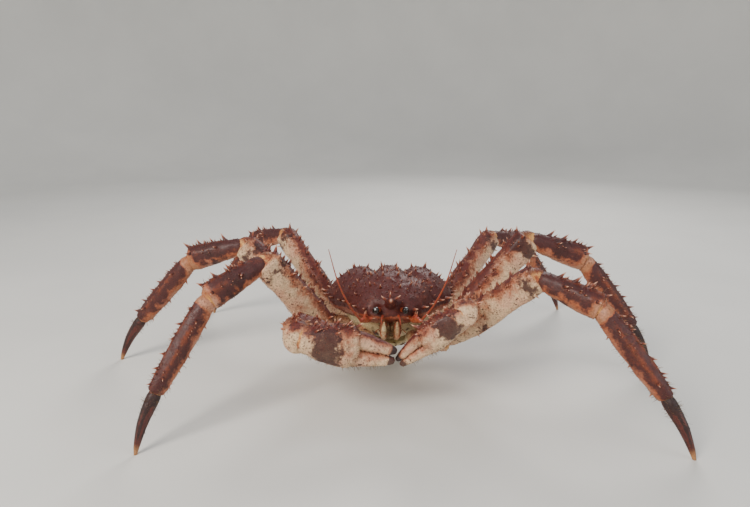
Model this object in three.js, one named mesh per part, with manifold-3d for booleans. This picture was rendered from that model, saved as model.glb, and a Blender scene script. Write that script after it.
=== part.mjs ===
// A red king crab, life size, standing on the tips of its six walking legs.
// Millimetres, +Z up, the floor at Z = 0. The crab faces -Y, so its right side is at -X.
import * as THREE from "three";
import { mergeVertices } from "three/addons/utils/BufferGeometryUtils.js";
import Module from "manifold-3d";

const wasm = await Module();
wasm.setup();

// Driving dimensions
const SHELL = 165; // length of the back shell, from the eye notch to the rear edge
const HALF = SHELL / 2; // the unit of the shell's relief and spine map
const BODY_PLACE = new THREE.Vector3(14.6, -16.7, 64); // the leg roots' level at the body's centre
const BODY_PITCH = 6; // degrees, the front raised
const RIM = 46; // the shell's widest level above the leg roots
const DOME = 42; // the back's rise above the rim
const UNDER_RIM = 26; // the shell's depth below the rim, before it is cut
const SPLIT = 28; // level of the cut between the back shell and the breast
const BREAST_TOP = 34;
const BREAST_DEPTH = 46;
const GAP = 0.3; // between nodes that touch
const CLEAR = 0.45; // what a shape's neighbours are cut back by, with the facets allowed for
const FOOT_DEPTH = 2.2; // how far a claw tip would reach below the floor before it is cut flat

// Colours of the plain solids
const COLOURS = {
  back: 0x6e2a20,
  leg: 0x7c3226,
  pale: 0xcdbb98,
  horn: 0x2c1a16,
  feeler: 0xa8493a,
};
const MATERIALS = Object.fromEntries(
  Object.entries(COLOURS).map(([name, color]) => [
    name,
    new THREE.MeshStandardMaterial({ color, roughness: 0.5, metalness: 0 }),
  ]),
);

// Small maths
const rad = THREE.MathUtils.degToRad;
const power = (value, exponent) =>
  Math.sign(value) * Math.abs(value) ** exponent;

// A seeded draw between -1 and 1, so that the varied spines are the same in every run.
function dice(seed) {
  let state = seed * 9301 + 49297;
  return () => {
    state = (state * 1103515245 + 12345) % 2147483648;
    return (state / 2147483648) * 2 - 1;
  };
}

// A smooth curve through keys of the form [place, value, value, ...], read at one place.
function smooth(keys, place) {
  const last = keys.length - 1;
  const at = Math.min(Math.max(place, keys[0][0]), keys[last][0]);
  let i = 0;
  while (i < last - 1 && at > keys[i + 1][0]) i += 1;
  const [a, b] = [keys[i], keys[i + 1]];
  const [before, after] = [keys[Math.max(i - 1, 0)], keys[Math.min(i + 2, last)]];
  const width = b[0] - a[0];
  const u = (at - a[0]) / width;
  return a.slice(1).map((value, k) => {
    const slopeA = ((b[k + 1] - before[k + 1]) / (b[0] - before[0])) * width;
    const slopeB = ((after[k + 1] - a[k + 1]) / (after[0] - a[0])) * width;
    const rise = b[k + 1] - value;
    return (
      value +
      slopeA * u +
      (3 * rise - 2 * slopeA - slopeB) * u * u +
      (slopeA + slopeB - 2 * rise) * u * u * u
    );
  });
}

// Solids: joining, cutting and keeping the largest closed body
function solidOf(geometry) {
  const bare = new THREE.BufferGeometry();
  bare.setAttribute("position", geometry.getAttribute("position"));
  bare.setIndex(geometry.index);
  const merged = mergeVertices(bare, 1e-4);
  return new wasm.Manifold(
    new wasm.Mesh({
      numProp: 3,
      vertProperties: new Float32Array(merged.attributes.position.array),
      triVerts: new Uint32Array(merged.index.array),
    }),
  );
}

const join = (solids) => wasm.Manifold.union(solids);

function largest(solid) {
  return solid
    .decompose()
    .reduce((best, body) => (body.volume() > best.volume() ? body : best));
}

function cutAway(solid, cutters) {
  return largest(cutters.reduce((left, cutter) => left.subtract(cutter), solid));
}

function slab(lowZ, highZ) {
  const reach = 1000;
  const box = new THREE.BoxGeometry(reach, reach, highZ - lowZ);
  return box.translate(0, 0, (lowZ + highZ) / 2);
}

function mapped(geometry, toPoint) {
  const places = geometry.getAttribute("position");
  const point = new THREE.Vector3();
  for (let i = 0; i < places.count; i += 1) {
    point.fromBufferAttribute(places, i);
    const moved = toPoint(point);
    places.setXYZ(i, moved.x, moved.y, moved.z);
  }
  return geometry;
}

// A node: its solid is worked out where it stands, and kept in its own frame.
function nodeMesh(name, solid, frame, material) {
  const { numProp, vertProperties, triVerts } = solid.getMesh();
  const places = new Float32Array((vertProperties.length / numProp) * 3);
  for (let i = 0; i < places.length / 3; i += 1) {
    places.set(vertProperties.subarray(i * numProp, i * numProp + 3), i * 3);
  }
  const geometry = new THREE.BufferGeometry();
  geometry.setAttribute("position", new THREE.BufferAttribute(places, 3));
  geometry.setIndex(new THREE.BufferAttribute(triVerts, 1));
  geometry.applyMatrix4(frame.clone().invert());
  geometry.computeVertexNormals();
  const mesh = new THREE.Mesh(geometry, MATERIALS[material]);
  mesh.name = name;
  mesh.applyMatrix4(frame);
  return mesh;
}

// Spines: tapered cones that lean along the surface, with the root sunk in
function spine(foot, direction, size, grow = 0, sides = 3) {
  const sink = size * 0.35;
  const height = size + sink + grow * 2;
  const cone = new THREE.ConeGeometry(size * 0.3 + grow, height, sides, 1);
  cone.translate(0, height / 2 - sink - grow, 0);
  cone.applyQuaternion(
    new THREE.Quaternion().setFromUnitVectors(new THREE.Vector3(0, 1, 0), direction),
  );
  return cone.translate(foot.x, foot.y, foot.z);
}

// Limb pieces: x runs along the piece, z is its upper side and y its edge.
// Keys are [share of the length, half width, half depth, lift]. A piece reaches to
// the next joint's centre and goes on past it by its knob, which the next piece meets.
const around = (angle, boxy) => [
  power(Math.sin(angle), 2 / boxy),
  power(Math.cos(angle), 2 / boxy),
];

function limbPoint(piece, share, angle, radial = 1, grow = 0) {
  const [width, depth, lift = 0] = smooth(piece.keys, share);
  const [across, up] = around(angle, piece.boxy ?? 2.3);
  const length = piece.reach + piece.knob;
  return new THREE.Vector3(
    length * share + grow * (2 * share - 1),
    (width + grow) * across * radial,
    (depth + grow) * up * radial + lift,
  );
}

function limbShape(piece, grow = 0) {
  const { sides = 9, rings = 6 } = piece;
  const tube = new THREE.CylinderGeometry(1, 1, 1, sides, rings);
  return mapped(tube, (p) => {
    const even = p.y + 0.5;
    const share = even - (0.6 * Math.sin(2 * Math.PI * even)) / (2 * Math.PI);
    return limbPoint(piece, share, Math.atan2(p.z, p.x), Math.hypot(p.x, p.z), grow);
  });
}

// Each row of spines is [degrees from the upper side towards the front, first share,
// last share, count, size]. The side sign puts the front on the same side of both legs.
function limbSpines(piece, side, seed, grow = 0) {
  const draw = dice(seed);
  const step = 0.02;
  return (piece.rows ?? []).flatMap(([degrees, first, last, count, size]) =>
    Array.from({ length: count }, (_, i) => {
      const even = count > 1 ? i / (count - 1) : 0.5;
      const share = first + (last - first) * even + draw() * 0.012;
      const angle = rad(-side * (degrees + draw() * 5));
      const foot = limbPoint(piece, share, angle);
      const along = limbPoint(piece, share + step, angle).sub(foot);
      const across = limbPoint(piece, share, angle + step).sub(foot);
      const out = along.cross(across).normalize();
      const lean = new THREE.Vector3(piece.lean ?? 0.45, 0, 0);
      return spine(foot, out.add(lean).normalize(), size * (1 + draw() * 0.2), grow);
    }),
  );
}

// The frame of a piece that points along an azimuth, out from its side and turned
// forwards, at an elevation above the floor.
function aim(origin, side, azimuth, elevation, roll = 0) {
  const [a, e] = [rad(azimuth), rad(elevation)];
  const along = new THREE.Vector3(
    side * Math.cos(e) * Math.cos(a),
    -Math.cos(e) * Math.sin(a),
    Math.sin(e),
  );
  const upper = new THREE.Vector3(
    -side * Math.sin(e) * Math.cos(a),
    Math.sin(e) * Math.sin(a),
    Math.cos(e),
  );
  upper.applyAxisAngle(along, rad(roll) * side);
  const edge = upper.clone().cross(along);
  return new THREE.Matrix4().makeBasis(along, edge, upper).setPosition(origin);
}

// A piece in place: its solid, the larger copy that cuts its neighbours, and its end.
function placePiece(piece, frame, side, seed) {
  const made = (grow) =>
    join(
      [limbShape(piece, grow), ...limbSpines(piece, side, seed, grow), ...(piece.extra?.(grow) ?? [])].map(
        (geometry) => solidOf(geometry.applyMatrix4(frame)),
      ),
    );
  return {
    frame,
    solid: made(0),
    cutter: made(CLEAR),
    end: new THREE.Vector3(piece.reach, 0, 0).applyMatrix4(frame),
  };
}

// Body
const bodyFrame = new THREE.Matrix4()
  .makeRotationX(rad(-BODY_PITCH))
  .setPosition(BODY_PLACE);

// Half outline of the back shell from above: [degrees from the front, radius]
const SHELL_OUTLINE = [
  [0, 84],
  [16, 86],
  [26, 84],
  [45, 75],
  [60, 72],
  [82, 84],
  [100, 94],
  [118, 98],
  [137, 96],
  [156, 89],
  [180, 80],
];
const SHELL_FULLNESS = 0.9;

// Swellings and furrows of the back, at a place given in half shell lengths
function relief(across, forward) {
  const u = Math.abs(across);
  const hill = (height, x, y, wide, long) =>
    height * Math.exp(-(((u - x) / wide) ** 2) - ((forward - y) / long) ** 2);
  const neck = forward - 0.02 - 0.6 * u * u;
  const gill = THREE.MathUtils.smoothstep(-forward, -0.05, 0.12);
  return (
    hill(9, 0, 0.42, 0.36, 0.32) +
    hill(6, 0, -0.38, 0.2, 0.26) +
    hill(9, 0.62, -0.3, 0.3, 0.42) +
    hill(4, 0.55, 0.5, 0.16, 0.2) -
    6 * Math.exp(-((neck / 0.09) ** 2)) -
    5 * gill * Math.exp(-(((u - 0.27) / 0.08) ** 2))
  );
}

function shellPoint(angle, fall, grow = 0) {
  const [radius] = smooth(SHELL_OUTLINE, Math.abs(THREE.MathUtils.radToDeg(angle)));
  const share = Math.sin(fall) ** SHELL_FULLNESS;
  const across = (radius + grow) * share * Math.sin(angle);
  const forward = (radius + grow) * share * Math.cos(angle);
  const level = Math.cos(fall);
  const rise =
    level > 0
      ? (DOME + grow) * level ** 0.85 +
        relief(across / HALF, forward / HALF) * (1 - share ** 6)
      : (UNDER_RIM + grow) * level;
  return new THREE.Vector3(across, -forward, RIM + rise);
}

// A place on the back over a point of the plan, with the way out of the shell
function onShell(across, forward) {
  const angle = Math.atan2(across, forward);
  const [radius] = smooth(SHELL_OUTLINE, Math.abs(THREE.MathUtils.radToDeg(angle)));
  const share = Math.min(Math.hypot(across, forward) / radius, 1);
  const fall = Math.asin(share ** (1 / SHELL_FULLNESS));
  const foot = shellPoint(angle, fall);
  const step = 0.02;
  const down = shellPoint(angle, Math.min(fall + step, 1.62)).sub(
    shellPoint(angle, fall - step),
  );
  const round = shellPoint(angle + step, fall).sub(shellPoint(angle - step, fall));
  return { foot, out: down.cross(round).normalize() };
}

// Spines of the back, in half shell lengths: [across, forward, size], both sides
const BACK_SPINES = [
  [0.15, 0.76, 9],
  [0.34, 0.66, 8],
  [0.13, 0.52, 9],
  [0.3, 0.4, 9],
  [0.12, 0.26, 8],
  [0.36, 0.2, 7],
  [0.11, -0.14, 9],
  [0.12, -0.36, 9],
  [0.1, -0.58, 8],
  [0.55, 0.66, 7],
  [0.54, 0.44, 8],
  [0.7, 0.3, 7],
  [0.46, -0.02, 8],
  [0.7, -0.0, 8],
  [0.4, -0.26, 9],
  [0.64, -0.24, 9],
  [0.88, -0.18, 8],
  [0.42, -0.52, 8],
  [0.66, -0.5, 9],
  [0.88, -0.48, 8],
  [0.34, -0.76, 7],
  [0.6, -0.76, 8],
  [0.12, -0.8, 6],
];
const EDGE_SPINES = { count: 13, first: 22, last: 164, size: 11 };

function shellSpines(grow) {
  const draw = dice(11);
  const made = [];
  const add = (across, forward, size, lean) => {
    const { foot, out } = onShell(across, forward);
    made.push(spine(foot, out.add(lean).normalize(), size * (1 + draw() * 0.15), grow, 4));
  };
  for (const side of [-1, 1]) {
    for (const [across, forward, size] of BACK_SPINES) {
      const place = [across + draw() * 0.015, forward + draw() * 0.015];
      add(side * place[0] * HALF, place[1] * HALF, size, new THREE.Vector3(0, -0.25, 0.2));
    }
    const { count, first, last, size } = EDGE_SPINES;
    for (let i = 0; i < count; i += 1) {
      const degrees = first + ((last - first) * i) / (count - 1) + draw() * 1.5;
      const angle = rad(degrees) * side;
      const [radius] = smooth(SHELL_OUTLINE, degrees);
      const lean = new THREE.Vector3(0, -0.3, 0.25);
      const reach = radius * 0.995;
      add(Math.sin(angle) * reach, Math.cos(angle) * reach, size, lean);
    }
  }
  return made;
}

// The beak between the eyes: a stout forward spine with a pair at its root
const BEAK = {
  reach: 34,
  knob: 0,
  keys: [
    [0, 10, 8],
    [0.3, 7, 6.5],
    [0.7, 4, 4.2],
    [1, 0.9, 0.9],
  ],
  sides: 8,
  rings: 4,
  rows: [
    [55, 0.42, 0.42, 1, 10],
    [-55, 0.42, 0.42, 1, 10],
    [0, 0.3, 0.3, 1, 9],
  ],
  lean: 0.5,
};
const BEAK_ROOT = new THREE.Vector3(0, -76, RIM + 12);

function shellShape(grow = 0) {
  const topShare = 0.74;
  const ball = mapped(new THREE.SphereGeometry(1, 36, 17), (p) => {
    const even = Math.acos(THREE.MathUtils.clamp(p.y, -1, 1)) / Math.PI;
    const fall =
      even < topShare
        ? ((even / topShare) * Math.PI) / 2
        : (1 + (even - topShare) / (1 - topShare)) * (Math.PI / 2);
    return shellPoint(Math.atan2(p.x, p.z), fall, grow);
  });
  const beakFrame = aim(BEAK_ROOT, 1, 90, 24);
  const beak = [limbShape(BEAK, grow), ...limbSpines(BEAK, 1, 5, grow)];
  const parts = [ball, ...shellSpines(grow), ...beak.map((g) => g.applyMatrix4(beakFrame))];
  return join(parts.map((geometry) => solidOf(geometry.applyMatrix4(bodyFrame))));
}

const BREAST_OUTLINE = [
  [0, 64],
  [60, 60],
  [100, 68],
  [140, 70],
  [180, 70],
];

function breastShape(grow = 0) {
  const ball = mapped(new THREE.SphereGeometry(1, 24, 12), (p) => {
    const angle = Math.atan2(p.x, p.z);
    const [radius] = smooth(BREAST_OUTLINE, Math.abs(THREE.MathUtils.radToDeg(angle)));
    const level = THREE.MathUtils.clamp(p.y, -1, 1);
    const share = Math.sqrt(1 - level * level) ** 1.5;
    const reach = (radius + grow) * share;
    const rise = level > 0 ? 12 * level : (BREAST_DEPTH + grow) * level;
    return new THREE.Vector3(
      reach * Math.sin(angle),
      -reach * Math.cos(angle),
      BREAST_TOP + rise,
    );
  });
  return solidOf(ball.applyMatrix4(bodyFrame));
}

const below = (level) => solidOf(slab(level - 400, level).applyMatrix4(bodyFrame));
const above = (level) => solidOf(slab(level, level + 400).applyMatrix4(bodyFrame));

const shellCutter = shellShape(CLEAR).subtract(below(SPLIT - CLEAR));
const breastCutter = breastShape(CLEAR).subtract(above(SPLIT + CLEAR));
const backShell = cutAway(shellShape(), [below(SPLIT + GAP / 2)]);
const breast = cutAway(breastShape(), [above(SPLIT - GAP / 2)]);

// The tail flap, tucked under the breast: x runs from the shell's rear edge to its
// apex between the legs, as stations of [forward, level, half width, half thickness].
const FLAP = [
  [-66, 24, 36, 9],
  [-80, 12, 43, 10],
  [-82, -2, 47, 10],
  [-70, -13, 47, 8],
  [-48, -19, 42, 6],
  [-24, -21, 32, 5.5],
  [-2, -21, 19, 4.5],
  [12, -20, 7, 3],
];
// Raised plates: [share along the flap, across in half widths, half length, half width]
const FLAP_PLATES = [
  [0.9, 0, 11, 7],
  [0.72, 0, 13, 9],
  [0.74, 0.62, 12, 6.5],
  [0.55, 0.4, 12, 9.5],
  [0.56, 0.8, 9, 5],
  [0.38, 0.32, 11, 11],
  [0.4, 0.76, 9, 7],
];

function flapPoint(share, across, upper) {
  const last = FLAP.length - 1;
  const keys = FLAP.map((station, i) => [i / last, ...station]);
  const [forward, level, width, thick] = smooth(keys, share);
  const ahead = smooth(keys, Math.min(share + 0.02, 1));
  const behind = smooth(keys, Math.max(share - 0.02, 0));
  const run = new THREE.Vector2(ahead[0] - behind[0], ahead[1] - behind[1]).normalize();
  return new THREE.Vector3(
    width * across,
    -(forward - run.y * thick * upper),
    level + run.x * thick * upper,
  );
}

function flapShape() {
  const plate = mapped(new THREE.CylinderGeometry(1, 1, 1, 12, 11), (p) => {
    const share = p.y + 0.5;
    const angle = Math.atan2(p.z, p.x);
    const [across, upper] = around(angle, 2.6);
    const radial = Math.hypot(p.x, p.z);
    return flapPoint(share, across * radial, upper * radial);
  });
  const plates = FLAP_PLATES.flatMap(([share, across, long, wide]) =>
    (across ? [-1, 1] : [1]).map((side) => {
      const middle = flapPoint(share, side * across, -0.82);
      const next = flapPoint(share + 0.03, side * across, -0.82);
      const down = flapPoint(share, side * across, -2).sub(middle).normalize();
      const along = next.sub(middle).normalize();
      const edge = down.clone().cross(along).normalize();
      const frame = new THREE.Matrix4().makeBasis(along, edge, edge.clone().cross(along).negate());
      const cap = new THREE.SphereGeometry(1, 8, 4).rotateX(Math.PI / 2);
      cap.scale(long, wide, 3.2);
      return cap.applyMatrix4(frame.setPosition(middle));
    }),
  );
  return join([plate, ...plates].map((g) => solidOf(g.applyMatrix4(bodyFrame))));
}

// Walking legs
const LEG_PIECES = {
  base: {
    reach: 58,
    knob: 9,
    keys: [
      [0, 12, 13],
      [0.25, 15, 16],
      [0.6, 15.5, 16.5],
      [0.86, 15.5, 17.5],
      [1, 9, 10.5],
    ],
    rings: 5,
    rows: [[10, 0.7, 0.84, 2, 7]],
  },
  merus: {
    reach: 172,
    knob: 12,
    keys: [
      [0, 9, 10],
      [0.06, 12.5, 14.5],
      [0.32, 15.5, 21],
      [0.66, 14.5, 19.5],
      [0.91, 15, 19],
      [1, 9, 11],
    ],
    rings: 8,
    rows: [
      [0, 0.18, 0.93, 6, 11],
      [52, 0.24, 0.92, 5, 9],
      [-52, 0.28, 0.9, 4, 9],
      [150, 0.3, 0.86, 2, 7],
    ],
  },
  carpus: {
    reach: 84,
    knob: 9,
    keys: [
      [0, 8.5, 9.5],
      [0.1, 11.5, 12.5],
      [0.5, 14, 16],
      [0.86, 14.5, 17.5],
      [1, 8.5, 11],
    ],
    rows: [
      [0, 0.28, 0.9, 4, 11],
      [60, 0.42, 0.86, 2, 9],
      [-60, 0.42, 0.86, 2, 9],
    ],
  },
  propodus: {
    reach: 130,
    knob: 6,
    keys: [
      [0, 8, 9],
      [0.08, 11, 12.5],
      [0.45, 11, 13.5],
      [0.9, 9, 11],
      [1, 6, 7.5],
    ],
    rows: [
      [0, 0.16, 0.9, 6, 8],
      [65, 0.25, 0.8, 2, 7],
      [-65, 0.25, 0.8, 2, 7],
      [180, 0.26, 0.88, 3, 6],
    ],
  },
  claw: {
    reach: 82,
    knob: 0,
    keys: [
      [0, 6, 7, 0],
      [0.1, 7.5, 8.5, 0.5],
      [0.5, 5.5, 6.5, 1.5],
      [0.85, 3, 3.6, -2],
      [1, 1.5, 1.8, -5],
    ],
    sides: 8,
    rings: 6,
  },
};

// Each leg: size, root as [across, forward, level], way it points, and the slope of
// each piece above the floor. The merus slope is solved so that the claw meets the floor.
const LEGS = [
  {
    pair: 1,
    size: 0.95,
    root: [30, 22, 0],
    azimuth: [30, 33, 34, 37, 40],
    slope: { base: 4, carpus: -20, propodus: -51, claw: -60 },
  },
  {
    pair: 2,
    size: 1,
    root: [35, -8, 0],
    azimuth: [-2, -2, 0, 2, 4],
    slope: { base: 3, carpus: -17, propodus: -50, claw: -59 },
  },
  {
    pair: 3,
    size: 0.93,
    root: [36, -38, 1],
    azimuth: [-34, -36, -35, -32, -30],
    slope: { base: 4, carpus: -17, propodus: -49, claw: -58 },
  },
];
// Left and right stances differ a little: degrees added to each azimuth and slope.
const STANCE = {
  right: { side: -1, turn: [2, -3, 1], flex: [-3, 2, 0] },
  left: { side: 1, turn: [-2, 2, -2], flex: [3, -2, 2] },
};

const scaled = (piece, size) => ({
  ...piece,
  reach: piece.reach * size,
  knob: piece.knob * size,
  keys: piece.keys.map(([share, ...values]) => [share, ...values.map((v) => v * size)]),
});

function legFrames(leg, stance, merusSlope) {
  const { side, turn, flex } = STANCE[stance];
  const [across, forward, level] = leg.root;
  let origin = new THREE.Vector3(side * across, -forward, level).applyMatrix4(bodyFrame);
  return Object.entries(LEG_PIECES).map(([name, shape], i) => {
    const slope = name === "merus" ? merusSlope : leg.slope[name];
    const bend = i > 1 ? flex[leg.pair - 1] : 0;
    const frame = aim(origin, side, leg.azimuth[i] + turn[leg.pair - 1], slope + bend);
    const piece = scaled(shape, leg.size);
    origin = new THREE.Vector3(piece.reach, 0, 0).applyMatrix4(frame);
    return { name, piece, frame };
  });
}

// Finds the merus slope at which the claw tip is just below the floor.
function standingFrames(leg, stance) {
  let [low, high] = [0, 80];
  for (let i = 0; i < 40; i += 1) {
    const middle = (low + high) / 2;
    const { piece, frame } = legFrames(leg, stance, middle).at(-1);
    const tip = limbPoint(piece, 1, 0, 0).applyMatrix4(frame);
    if (tip.z > -FOOT_DEPTH) high = middle;
    else low = middle;
  }
  return legFrames(leg, stance, (low + high) / 2);
}

// Pincers
const pincerHand = (size, wide) => ({
  reach: 74 * size,
  knob: 4 * size,
  keys: [
    [0, 9, 10],
    [0.1, 13 * wide, 16 * wide],
    [0.5, 17 * wide, 25 * wide],
    [0.85, 16 * wide, 26 * wide],
    [1, 11 * wide, 20 * wide],
  ].map(([share, w, d]) => [share, w * size, d * size]),
  rows: [
    [0, 0.2, 0.86, 5, 9],
    [40, 0.25, 0.85, 3, 8],
    [-40, 0.25, 0.85, 3, 8],
    [90, 0.4, 0.75, 2, 6],
  ],
  extra: (grow) => {
    const fixed = pincerFinger(size, wide, 60);
    const frame = aim(new THREE.Vector3(64 * size, 0, -13 * size * wide), 1, 0, 5);
    return [limbShape(fixed, grow).applyMatrix4(frame)];
  },
});

const pincerFinger = (size, wide, reach) => ({
  reach: reach * size,
  knob: 0,
  keys: [
    [0, 8.5, 9],
    [0.15, 10, 11],
    [0.55, 8, 8.5],
    [0.88, 5.5, 6],
    [1, 3, 3.2],
  ].map(([share, w, d]) => [share, w * size * wide, d * size * wide]),
  sides: 8,
  rings: 5,
});

const armPiece = (reach, knob, width, depth, rows) => ({
  reach,
  knob,
  keys: [
    [0, width * 0.65, depth * 0.6],
    [0.12, width * 0.85, depth * 0.82],
    [0.55, width, depth],
    [0.88, width, depth * 0.98],
    [1, width * 0.6, depth * 0.62],
  ],
  rows,
});

const ARM_ROWS = {
  base: [[0, 0.7, 0.84, 2, 6]],
  merus: [
    [0, 0.35, 0.9, 3, 9],
    [60, 0.5, 0.88, 2, 8],
    [-60, 0.5, 0.88, 2, 8],
  ],
  carpus: [
    [0, 0.3, 0.85, 3, 9],
    [55, 0.4, 0.8, 2, 8],
    [-55, 0.4, 0.8, 2, 8],
  ],
};

// Each arm: root as [across, forward, level], and the azimuth, slope and roll of
// base, merus, carpus and hand, as the photograph's folded arms are held.
const ARMS = [
  {
    name: "right_arm",
    side: -1,
    size: 1,
    wide: 1,
    root: [27, 50, 4],
    aims: [
      [52, 8, 0],
      [24, 26, 0],
      [104, 6, 0],
      [188, -14, 0],
    ],
  },
  {
    name: "left_arm",
    side: 1,
    size: 0.86,
    wide: 0.86,
    root: [27, 50, 4],
    aims: [
      [52, 12, 0],
      [26, 48, 0],
      [104, 16, 0],
      [184, -40, 0],
    ],
  },
];

function armNodes({ name, side, size, wide, root, aims }, group) {
  const pieces = {
    base: armPiece(46, 8, 12.5, 13.5, ARM_ROWS.base),
    merus: armPiece(84 * size, 9, 15 * size, 19 * size, ARM_ROWS.merus),
    carpus: armPiece(46 * size, 9, 16 * size, 19 * size, ARM_ROWS.carpus),
    hand: pincerHand(size, wide),
  };
  let origin = new THREE.Vector3(side * root[0], -root[1], root[2]).applyMatrix4(bodyFrame);
  let cutters = [breastCutter, shellCutter];
  Object.entries(pieces).forEach(([part, piece], i) => {
    const frame = aim(origin, side, ...aims[i]);
    const placed = placePiece(piece, frame, side, 40 + i + side);
    group.add(nodeMesh(`${name}_${part}`, cutAway(placed.solid, cutters), frame, "leg"));
    cutters = i === 0 ? [breastCutter, placed.cutter] : [placed.cutter];
    origin = placed.end;
  });
  const hinge = new THREE.Vector3(68 * size, 0, 12.5 * size * wide);
  const palm = aim(
    new THREE.Vector3().setFromMatrixPosition(aim(origin, side, 0, 0)),
    side,
    ...aims[3],
  );
  const back = new THREE.Vector3(-pieces.hand.reach, 0, 0).applyMatrix4(palm);
  const start = palm.clone().setPosition(back);
  const frame = start.multiply(aim(hinge, 1, 0, -8));
  const finger = placePiece(pincerFinger(size, wide, 56), frame, side, 3);
  group.add(nodeMesh(`${name}_finger`, cutAway(finger.solid, cutters), frame, "pale"));
}

// Eyes, feelers and mouth limbs
const EYE = {
  reach: 17,
  knob: 0,
  keys: [
    [0, 3.2, 3.2],
    [0.5, 3.4, 3.4],
    [0.78, 4.4, 4.4],
    [0.94, 3.2, 3.2],
    [1, 1.4, 1.4],
  ],
  sides: 9,
  rings: 6,
};
const FEELER_STEM = {
  reach: 30,
  knob: 0,
  keys: [
    [0, 5, 5],
    [0.3, 5.5, 5],
    [0.36, 4.2, 4],
    [0.62, 4.4, 4],
    [0.68, 3, 3],
    [1, 2.4, 2.4],
  ],
  sides: 7,
  rings: 6,
  rows: [
    [0, 0.25, 0.55, 2, 7],
    [80, 0.25, 0.25, 1, 9],
  ],
};
const FEELER_WHIP = {
  reach: 135,
  knob: 0,
  keys: [
    [0, 1.6, 1.6, 0],
    [0.3, 1.3, 1.3, -5],
    [0.65, 0.9, 0.9, -3],
    [1, 0.4, 0.4, 8],
  ],
  sides: 5,
  rings: 9,
};
const SMALL_FEELER = {
  reach: 38,
  knob: 0,
  keys: [
    [0, 2.4, 2.4, 0],
    [0.4, 2, 2, 1],
    [0.5, 1.4, 1.4, 1],
    [0.75, 1.2, 1.2, -1],
    [1, 0.4, 0.4, -6],
  ],
  sides: 6,
  rings: 6,
};
const JAW_LOWER = {
  reach: 34,
  knob: 5,
  keys: [
    [0, 4.5, 6],
    [0.3, 5, 7],
    [0.8, 4.5, 6],
    [1, 3, 4],
  ],
  sides: 8,
  rings: 5,
};
const JAW_UPPER = {
  reach: 24,
  knob: 0,
  keys: [
    [0, 3, 4],
    [0.3, 4, 5.5],
    [0.75, 3.2, 4.2],
    [1, 1.2, 1.6],
  ],
  sides: 8,
  rings: 5,
};

function headNodes(group) {
  const sided = (across, forward, level, side) =>
    new THREE.Vector3(side * across, -forward, level).applyMatrix4(bodyFrame);
  for (const [word, side] of [
    ["right", -1],
    ["left", 1],
  ]) {
    const eye = placePiece(EYE, aim(sided(15, 78, RIM + 6, side), side, 68, 14), side, 1);
    group.add(nodeMesh(`${word}_eye`, cutAway(eye.solid, [shellCutter]), eye.frame, "horn"));

    const stem = placePiece(
      FEELER_STEM,
      aim(sided(30, 72, RIM - 8, side), side, 72, 14),
      side,
      2,
    );
    const whip = aim(stem.end, side, 62, 54);
    const whipSolid = solidOf(limbShape(FEELER_WHIP).applyMatrix4(whip));
    const feeler = cutAway(join([stem.solid, whipSolid]), [shellCutter, breastCutter]);
    group.add(nodeMesh(`${word}_feeler`, feeler, stem.frame, "feeler"));

    const small = placePiece(
      SMALL_FEELER,
      aim(sided(9, 68, RIM - 3, side), side, 84, 8),
      side,
      5,
    );
    const smallSolid = cutAway(small.solid, [shellCutter]);
    group.add(nodeMesh(`${word}_small_feeler`, smallSolid, small.frame, "feeler"));

    const lower = placePiece(JAW_LOWER, aim(sided(8, 44, 6, side), side, 88, 24), side, 3);
    const upper = placePiece(JAW_UPPER, aim(lower.end, side, 92, 68), side, 4);
    const jaw = cutAway(join([lower.solid, upper.solid]), [breastCutter, shellCutter]);
    group.add(nodeMesh(`${word}_jaw_limb`, jaw, lower.frame, "pale"));
  }
}

// Assembly
const crab = new THREE.Group();
const trunk = new THREE.Group();
crab.add(trunk);
trunk.add(nodeMesh("back_shell", backShell, bodyFrame, "back"));
trunk.add(nodeMesh("breast", breast, bodyFrame, "pale"));
headNodes(trunk);

const floor = solidOf(slab(-100, 0));
const baseCutters = [];
for (const stance of ["right", "left"]) {
  for (const leg of LEGS) {
    const group = new THREE.Group();
    let cutters = [breastCutter, shellCutter];
    standingFrames(leg, stance).forEach(({ name, piece, frame }, i) => {
      const { side } = STANCE[stance];
      const placed = placePiece(piece, frame, side, 100 * leg.pair + 10 * i + side);
      const solid = cutAway(placed.solid, name === "claw" ? [...cutters, floor] : cutters);
      const node = `${stance}_leg_${leg.pair}_${name}`;
      group.add(nodeMesh(node, solid, frame, name === "claw" ? "horn" : "leg"));
      if (name === "base") baseCutters.push(placed.cutter);
      cutters = name === "base" ? [placed.cutter, shellCutter] : [placed.cutter];
    });
    crab.add(group);
  }
}

for (const arm of ARMS) {
  const group = new THREE.Group();
  armNodes(arm, group);
  crab.add(group);
}

const flap = cutAway(flapShape(), [breastCutter, shellCutter, ...baseCutters]);
trunk.add(nodeMesh("tail_flap", flap, bodyFrame, "pale"));

export default crab;
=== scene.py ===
"""Looks for a life-size red king crab that stands on the tips of its walking legs.

Every shape below repeats the named sizes of the solids in millimetres, and makes them
finer: spines, grains, bristles, joints and the colours of the shell.
"""

import itertools
import math

import bpy
import numpy as np
from bpy.props import FloatProperty, FloatVectorProperty, PointerProperty
from mathutils import Matrix, Vector, noise


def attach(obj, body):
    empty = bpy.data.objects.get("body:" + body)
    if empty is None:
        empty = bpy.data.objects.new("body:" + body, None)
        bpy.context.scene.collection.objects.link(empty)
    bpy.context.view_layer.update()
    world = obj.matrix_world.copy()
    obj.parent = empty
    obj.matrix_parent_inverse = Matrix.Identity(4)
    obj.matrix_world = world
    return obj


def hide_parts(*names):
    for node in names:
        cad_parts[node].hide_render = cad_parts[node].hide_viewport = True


bl_info = {
    "name": "Red King Crab",
    "version": (1, 0, 0),
    "blender": (4, 5, 0),
    "location": "View3D > Sidebar > King Crab",
    "description": "Builds the spiny shell, limbs, pincers and head of a red king crab",
    "category": "Object",
}

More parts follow.
